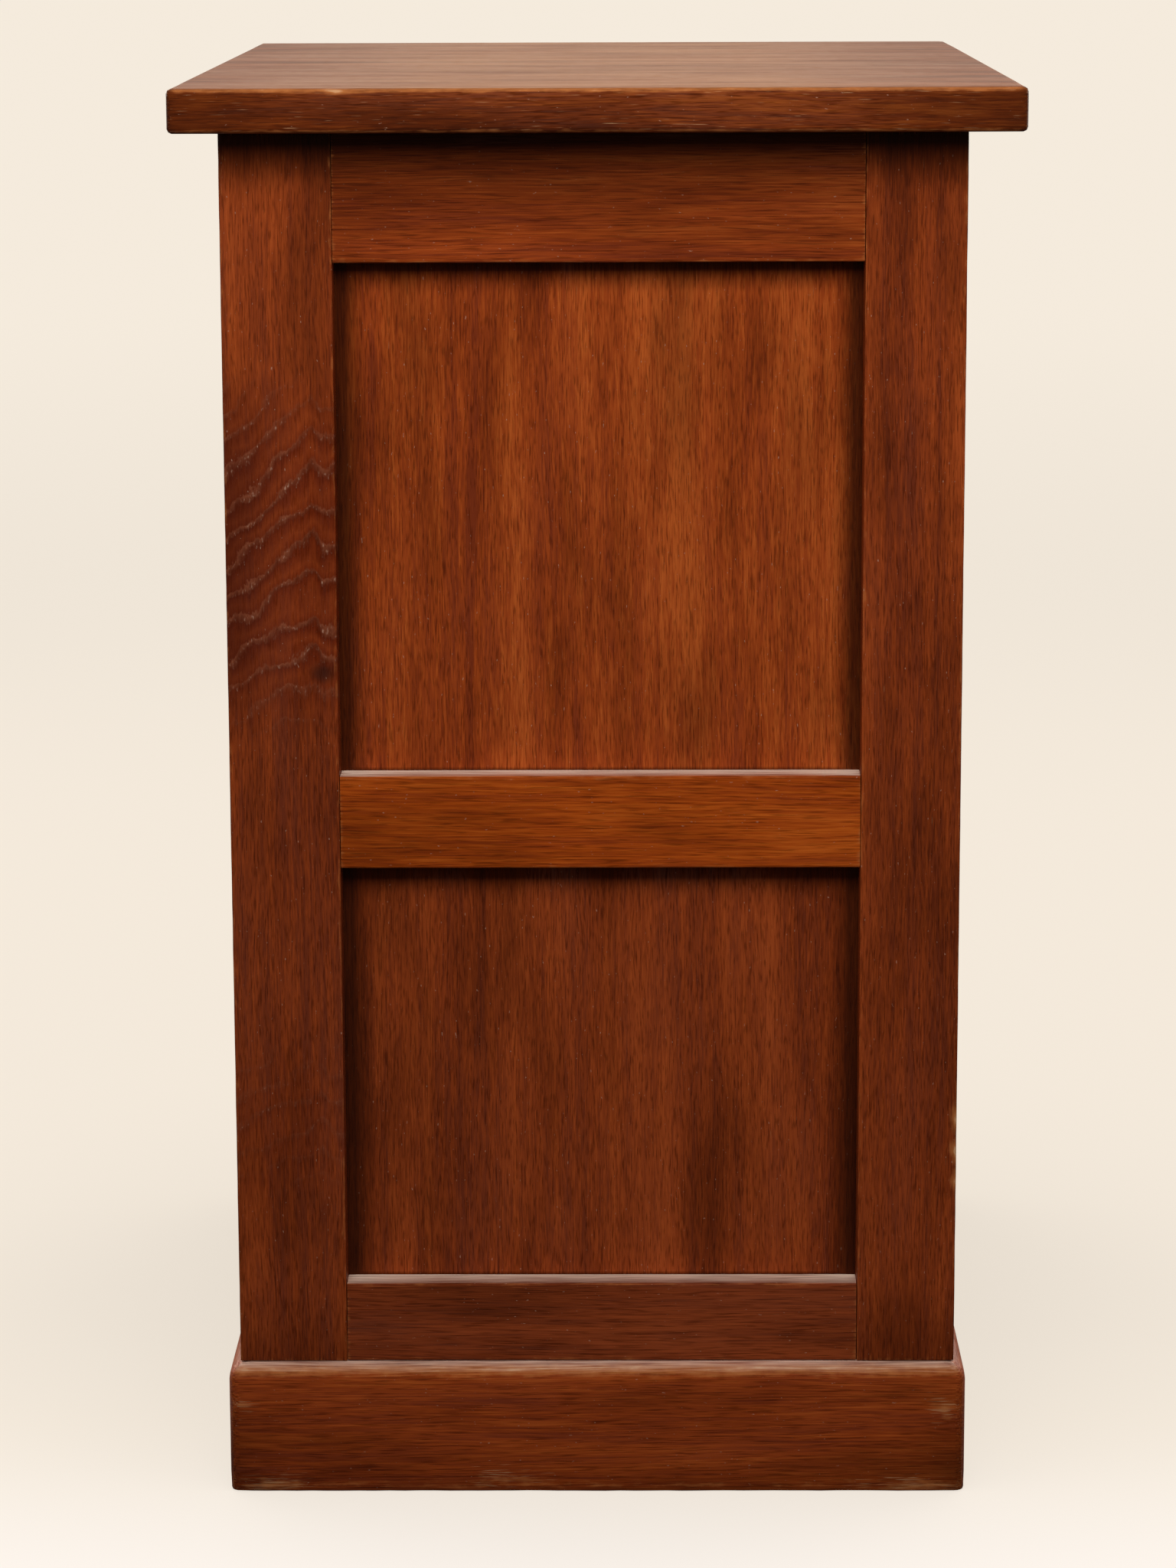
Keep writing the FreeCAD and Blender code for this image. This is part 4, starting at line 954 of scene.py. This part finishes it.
low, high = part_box("bottom_board")
low.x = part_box("left_front_stile")[1].x
high.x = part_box("right_front_stile")[0].x
bottom = board("bottom_board", low, high, "x", arris=INSIDE_ARRIS, wear=0.55)
strike_low, strike_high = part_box("strike_plate")
bpy.ops.object.mode_set(mode="EDIT")
for axis in (0, 1):
    cut_at(axis, strike_low[axis], strike_high[axis])
pick(bottom, "faces", lambda face: face.normal.z > 0.99 and all(
    strike_low[axis] < face.calc_center_median()[axis] < strike_high[axis] for axis in (0, 1)))
extrude(0, 0, -STRIKE_MORTISE)
bpy.ops.object.mode_set(mode="OBJECT")
finish(bottom, oak("stained oak floor", "x", 52))

for number, node in enumerate(("shelf_lower", "shelf_upper"), start=53):
    low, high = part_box(node)
    shelf = board(node, low, high, "x", arris=INSIDE_ARRIS, wear=0.55)
    # Unpolished, it gives the eye a paler, dry brown.
    dry_oak = oak(f"unpolished oak {node}", "x", number, INSIDE_STAIN, gloss=INSIDE_GLOSS)
    finish(shelf, dry_oak)
print("header, floor and two shelves")

# %% [markdown]
# The shutter's slats are strips with a crowned face, so that the shutter can bend backwards round
# the top of its track. A slat could be a stretched cube with a bevelled face, but a true crown is
# part of a cylinder: one is cut off flat, and the cut is extruded back to the slat's thickness.
# The middle of each end is then drawn out as the tongue that runs in the track.

# %% One slat
SLAT_PITCH = 21.5 * MM
SLAT_GAP = 0.3 * MM
SLAT_CROWN = 3 * MM
SLAT_END = 251 * MM
TONGUE_THICKNESS = 6.5 * MM
TONGUE_HEIGHT = 12 * MM
CROWN_SIDES = 72

slats_low, slats_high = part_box("tambour_slats")
slat_count = round((slats_high.z - slats_low.z) / SLAT_PITCH)
slat_height = SLAT_PITCH - SLAT_GAP
slat_middle = slats_low.z + slat_height / 2
crown_radius = SLAT_CROWN / 2 + slat_height ** 2 / (8 * SLAT_CROWN)
shoulder = slats_low.y + SLAT_CROWN
curtain = (slats_low.y + slats_high.y) / 2
tongue_faces = (curtain - TONGUE_THICKNESS / 2, curtain + TONGUE_THICKNESS / 2)


def cylinder(name, sides, radius, length, middle, turn):
    """A cylinder primitive, left open in edit mode."""
    bpy.ops.object.select_all(action="DESELECT")
    bpy.ops.mesh.primitive_cylinder_add(vertices=sides, radius=radius, depth=length,
                                        end_fill_type="NGON", location=middle, rotation=turn)
    bpy.ops.object.transform_apply(location=True, rotation=True, scale=True)
    piece = bpy.context.object
    piece.name = name
    bpy.ops.object.mode_set(mode="EDIT")
    return piece


def draw_tongues(piece, low, high):
    """Draws out the middle of each end, between two heights, as far as the slats reach."""
    for end in (-1, 1):
        pick(piece, "faces", lambda face: face.normal.x * end > 0.99
             and abs(face.calc_center_median().x) > SLAT_END - MM
             and tongue_faces[0] < face.calc_center_median().y < tongue_faces[1]
             and low < face.calc_center_median().z < high)
        extrude(end * (slats_high.x - SLAT_END), 0, 0)


slat = cylinder("slat", CROWN_SIDES, crown_radius, 2 * SLAT_END,
                (0, slats_low.y + crown_radius, slat_middle), (0, math.pi / 2, 0))
bpy.ops.mesh.select_all(action="SELECT")
bpy.ops.mesh.bisect(plane_co=(0, shoulder, 0), plane_no=(0, 1, 0), use_fill=True, clear_outer=True)
pick(slat, "faces", lambda face: face.normal.y > 0.99)
extrude(0, slats_high.y - shoulder, 0)
tongue_edges = (slat_middle - TONGUE_HEIGHT / 2, slat_middle + TONGUE_HEIGHT / 2)
cut_at(2, *tongue_edges)
cut_at(1, *tongue_faces)
draw_tongues(slat, *tongue_edges)
bpy.ops.mesh.select_all(action="SELECT")
bpy.ops.mesh.normals_make_consistent(inside=False)
bevel(slat, lambda edge: run(edge, 0) > SLAT_END
      and all(abs(v.co.y - shoulder) < SAME for v in edge.verts), 0.8 * MM, 2)
bpy.ops.mesh.select_all(action="SELECT")
bpy.ops.mesh.remove_doubles(threshold=SAME)
bpy.ops.object.mode_set(mode="OBJECT")
print("one slat:", len(slat.data.polygons), "faces, crown radius", round(crown_radius / MM, 1), "mm")

# %% [markdown]
# The slat is copied up the opening, each copy with its own number so that its grain differs from
# its neighbours', and the copies are joined. On the real cabinet the shutter rolls up over the top
# of the goods, out of sight behind the header. Here the shutter only gets a mesh of its own.


def gather(piece):
    """Gives a piece of the shutter a mesh of its own."""
    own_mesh(piece)


copies = []
for number in range(slat_count):
    copy = twin(slat, f"slat_{number}")
    copy.location.z = number * SLAT_PITCH
    mark(copy, "board", np.full(len(copy.data.vertices), number + 1))
    mark(copy, "wear", 0.45 * near(np.abs(points(copy)[:, 1] - shoulder), 2 * MM))
    copies.append(copy)
bpy.data.objects.remove(slat)
choose(*copies)
bpy.ops.object.transform_apply(location=True, rotation=True, scale=True)
bpy.ops.object.join()
slats = copies[0]
slats.name = "tambour_slats_dressed"
finish(slats, oak("stained oak slats", "x", 60))
gather(slats)
print("slats:", slat_count)

# %% [markdown]
# Canvas is glued to the backs of the slats and holds them together. It is a flat sheet: a grid with
# thickness from Solidify. The weave is two sets of ridges, drawn at twice the real thread spacing so
# that they show in the render.

# %% Canvas
THREAD = 1.6 * MM
SOILED = 60 * MM

canvas_low, canvas_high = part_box("canvas_backing")
canvas_width = canvas_high.x - canvas_low.x
canvas_length = canvas_high.z - canvas_low.z

# It gives the eye a dull, uneven straw brown with a fine square weave.
weave, tree, skin = surface("glued cotton canvas")
place = add(tree, "TexCoord", out="Object")
threads = []
for direction in ("X", "Z"):
    # A wave repeats 20 times in 2 pi units of its own scale.
    ridges = {"Vector": place, "Scale": math.pi / (10 * THREAD), "Distortion": 0.6, "Detail": 1,
              "Detail Scale": 2}
    threads.append(add(tree, "TexWave", ridges, out="Fac", bands_direction=direction))
crossed = add(tree, "Math", threads, operation="MULTIPLY")
dirt_and_shade = add(tree, "TexNoise", {"Vector": place, "Scale": 1 / SOILED, "Detail": 4})
shade = add(tree, "Math", (crossed, 0.35, dirt_and_shade), operation="MULTIPLY_ADD")
cloth = add(tree, "ValToRGB", {"Fac": shade},
            stops=((0.30, "#6E5A40"), (0.85, "#B59B74"), (0.55, "#957C58")))
relief = add(tree, "Bump", {"Height": crossed, "Strength": 0.5, "Distance": 0.3 * MM})
fill(tree, skin, {"Base Color": cloth, "Roughness": 0.9, "Specular IOR Level": 0.2, "Normal": relief})

bpy.ops.object.select_all(action="DESELECT")
bpy.ops.mesh.primitive_grid_add(
    x_subdivisions=24, y_subdivisions=54, size=1, rotation=(math.pi / 2, 0, 0),
    location=((canvas_low.x + canvas_high.x) / 2, canvas_low.y, (canvas_low.z + canvas_high.z) / 2))
canvas = bpy.context.object
canvas.name = "canvas_backing_dressed"
canvas.scale = (canvas_width, canvas_length, 1)
bpy.ops.object.transform_apply(location=True, rotation=True, scale=True)
thick = canvas.modifiers.new("thickness", "SOLIDIFY")
thick.thickness = canvas_high.y - canvas_low.y
thick.offset = -1
bpy.ops.object.modifier_apply(modifier=thick.name)
finish(canvas, weave)
gather(canvas)
print("canvas:", [round(v / MM, 2) for v in (*points(canvas).min(0), *points(canvas).max(0))])

# %% [markdown]
# The lead rail is the shutter's heavy bottom slat, with two finger recesses to lift it by. It starts
# as a block as thick as its thinnest part. Its back is extruded where it is thicker, round the
# pocket that the lock's cam turns in, and its ends are drawn out as tongues. A recess is a rectangle
# pushed in, whose four inner corners are bevelled until its ends are round.

# %% Lead rail
RECESS_SPACING = 300 * MM
RECESS_LENGTH = 90 * MM
RECESS_HEIGHT = 20 * MM
RECESS_DEPTH = 10 * MM
CAM_POCKET_PLAY = 3 * MM

lead_low, lead_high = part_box("lead_rail")
cam_low, cam_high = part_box("lock_cam")
pocket_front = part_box("lock_case")[1].y
pocket_sides = (cam_low.x - CAM_POCKET_PLAY, cam_high.x + CAM_POCKET_PLAY)
pocket_top = cam_high.z + CAM_POCKET_PLAY
recess_middle = (lead_low.z + lead_high.z) / 2


def at_back(face):
    """Whether a face looks back, and lies outside the pocket where the cam turns."""
    middle = face.calc_center_median()
    in_pocket = pocket_sides[0] < middle.x < pocket_sides[1] and middle.z < pocket_top
    return face.normal.y > 0.99 and not in_pocket


def in_recess(place):
    """Whether a place on the rail's face lies within one of the finger recesses."""
    return (abs(abs(place.x) - RECESS_SPACING / 2) < RECESS_LENGTH / 2 + SAME
            and abs(place.z - recess_middle) < RECESS_HEIGHT / 2 + SAME)


lead = block("lead_rail_dressed", (-SLAT_END, lead_low.y, lead_low.z), (SLAT_END, pocket_front, lead_high.z))
cut_at(0, *pocket_sides)
cut_at(2, pocket_top, canvas_low.z)
pick(lead, "faces", at_back)
extrude(0, slats_high.y - pocket_front, 0)
pick(lead, "faces", lambda face: at_back(face) and face.calc_center_median().z < canvas_low.z)
extrude(0, lead_high.y - slats_high.y, 0)
cut_at(1, *tongue_faces)
draw_tongues(lead, lead_low.z, lead_high.z)
for hand in (-1, 1):
    cut_at(0, *((hand * RECESS_SPACING + end * RECESS_LENGTH) / 2 for end in (-1, 1)))
cut_at(2, recess_middle - RECESS_HEIGHT / 2, recess_middle + RECESS_HEIGHT / 2)
pick(lead, "faces", lambda face: face.normal.y < -0.99 and in_recess(face.calc_center_median()))
extrude(0, RECESS_DEPTH, 0)
bevel(lead, lambda edge: run(edge, 1) > RECESS_DEPTH - 0.1 * MM and is_sharp(edge)
      and all(in_recess(v.co) for v in edge.verts), 0.99 * RECESS_HEIGHT / 2, 8)
bevel(lead, lambda edge: is_sharp(edge) and all(v.co.y < lead_low.y + SAME for v in edge.verts), 1 * MM, 3)
bpy.ops.mesh.select_all(action="SELECT")
bpy.ops.mesh.remove_doubles(threshold=SAME)
bpy.ops.object.mode_set(mode="OBJECT")
behind = points(lead)[:, 1] - lead_low.y
mark(lead, "wear", 0.5 * near(behind, 1.5 * MM) * (behind > 0.05 * MM))
finish(lead, oak("stained oak lead rail", "x", 90), "shutter")
print("lead rail:", len(lead.data.polygons), "faces")

# %% [markdown]
# Brass tarnishes where it isn't touched, so brown patches dull it, and fine scratches break up what
# shine is left. The screws are steel that has dulled in the same way. A flat colour could do at
# this size, but the patches are what tells old metal from new.

# %% Aged metals
# How long, how deep and how wide the scratches are.
METAL_SCRATCH = (8 * MM, MM, 0.5 * MM)


def metal(name, colours, roughness, patch):
    """A metal that has dulled in patches of about a given size."""
    made, tree, skin = surface(name)
    place = add(tree, "TexCoord", out="Object")
    patches = add(tree, "TexNoise", {"Vector": place, "Scale": 1 / patch, "Detail": 5, "Roughness": 0.65})
    drawn = add(tree, "Mapping", {"Vector": place, "Scale": [1 / size for size in METAL_SCRATCH]})
    scratches = add(tree, "TexNoise", {"Vector": drawn, "Scale": 1, "Detail": 2})
    dark, middling, light = colours
    colour = add(tree, "ValToRGB", {"Fac": patches}, stops=((0.36, dark), (0.64, light), (0.50, middling)))
    dull = add(tree, "MapRange", (patches, 0.35, 0.65, roughness + 0.2, roughness))
    relief = add(tree, "Bump", {"Height": scratches, "Strength": 0.15, "Distance": 0.05 * MM})
    fill(tree, skin, {"Base Color": colour, "Metallic": 1, "Roughness": dull, "Normal": relief})
    return made


# Brass gives the eye a soft gold glint low on the dark front, and steel a grey one in the tracks.
brass = metal("aged brass", ("#86612A", "#A57B36", "#B78D48"), 0.28, 5 * MM)
steel = metal("dull steel", ("#5E5A57", "#77736F", "#85817D"), 0.38, 3 * MM)
print("metals:", brass.name, "and", steel.name)

# %% [markdown]
# The lock's round pieces were turned on a lathe. A profile could be spun with a Screw modifier, but
# each has only a step or two: it starts as a cylinder, its caps are inset and pushed in or drawn
# out for the steps, and its outer rim is bevelled.

# %% Lock
LOCK_SIDES = 64
ESCUTCHEON_RIM = 1.6 * MM
ESCUTCHEON_DISH = 0.3 * MM
CASE_BARREL_RADIUS = 9 * MM
KEY_SLOT = Vector((1.6 * MM, 5 * MM, 7 * MM))
PLUG_PLAY = 0.15 * MM

plug_low, plug_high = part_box("lock_plug")
case_low, case_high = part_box("lock_case")
plate_low, plate_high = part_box("lock_escutcheon")
lock_axis = (plug_low.z + plug_high.z) / 2


def turned(name, radius, front, back):
    """A cylinder along the lock's axis, from its front to its back, left open in edit mode."""
    return cylinder(name, LOCK_SIDES, radius, back - front, (0, (front + back) / 2, lock_axis),
                    (math.pi / 2, 0, 0))


def step_cap(piece, facing, inset, depth):
    """Insets the cap that faces along Y, and moves what is inside by a depth."""
    reach = max(v.co.y * facing for v in bmesh.from_edit_mesh(piece.data).verts)
    pick(piece, "faces", lambda face: face.normal.y * facing > 0.99
         and face.calc_center_median().y * facing > reach - SAME)
    bpy.ops.mesh.inset(thickness=inset)
    extrude(0, depth, 0)


def from_axis(vertex):
    """How far a vertex lies from the lock's axis."""
    return math.hypot(vertex.co.x, vertex.co.z - lock_axis)


def ease_rim(piece, front, offset):
    """Rounds the outer edge of the front cap."""
    radius = max(from_axis(v) for v in bmesh.from_edit_mesh(piece.data).verts)
    bevel(piece, lambda edge: all(abs(v.co.y - front) < SAME and from_axis(v) > radius - 0.05 * MM
                                  for v in edge.verts), offset, 3)
    bpy.ops.object.mode_set(mode="OBJECT")


escutcheon = turned("lock_escutcheon_dressed", plate_high.x, plate_low.y, plate_high.y)
step_cap(escutcheon, -1, ESCUTCHEON_RIM, ESCUTCHEON_DISH)
ease_rim(escutcheon, plate_low.y, 0.5 * MM)
finish(escutcheon, brass, "shutter")

case = turned("lock_case_dressed", case_high.x, case_low.y, plate_low.y)
step_cap(case, 1, case_high.x - CASE_BARREL_RADIUS, case_high.y - plate_low.y)
step_cap(case, -1, case_high.x - plug_high.x, pocket_front - case_low.y - MM)
ease_rim(case, case_low.y, 0.6 * MM)
finish(case, brass, "shutter")

plug = turned("lock_plug_dressed", plug_high.x - PLUG_PLAY, plug_low.y, plug_high.y)
for hand in (-1, 1):
    cut_at(0, hand * KEY_SLOT.x / 2)
    cut_at(2, lock_axis + hand * KEY_SLOT.z / 2)
pick(plug, "faces", lambda face: face.normal.y < -0.99 and abs(face.calc_center_median().x) < KEY_SLOT.x / 2
     and abs(face.calc_center_median().z - lock_axis) < KEY_SLOT.z / 2)
extrude(0, KEY_SLOT.y, 0)
ease_rim(plug, plug_low.y, 0.3 * MM)
finish(plug, brass, "lock_barrel")
print("lock: escutcheon, case and plug")

# %% [markdown]
# The remaining CAD pieces have the right shape as they are: the grooved track boards, the linings,
# the blocks, dowels and pegs, and the lock's hidden parts. They only change their finish.

# %% Finishes of the kept pieces
unpolished = {grain: oak(f"unpolished oak along {grain}", grain, 70, INSIDE_STAIN, gloss=INSIDE_GLOSS)
              for grain in "xz"}
track_oak = oak("stained oak tracks", "z", 75)
KEPT = {
    "left_track_board": track_oak,
    "right_track_board": track_oak,
    "inner_top": unpolished["x"],
    "inner_back": unpolished["x"],
    "top_dowels": unpolished["z"],
    "plinth_blocks": unpolished["z"],
    "shelf_pegs": brass,
    "strike_plate": brass,
    "lock_cam": brass,
    "track_screws": steel,
}
for node, material in KEPT.items():
    nodes[node].data.materials.clear()
    nodes[node].data.materials.append(material)
print("kept CAD pieces with new finishes:", len(KEPT))
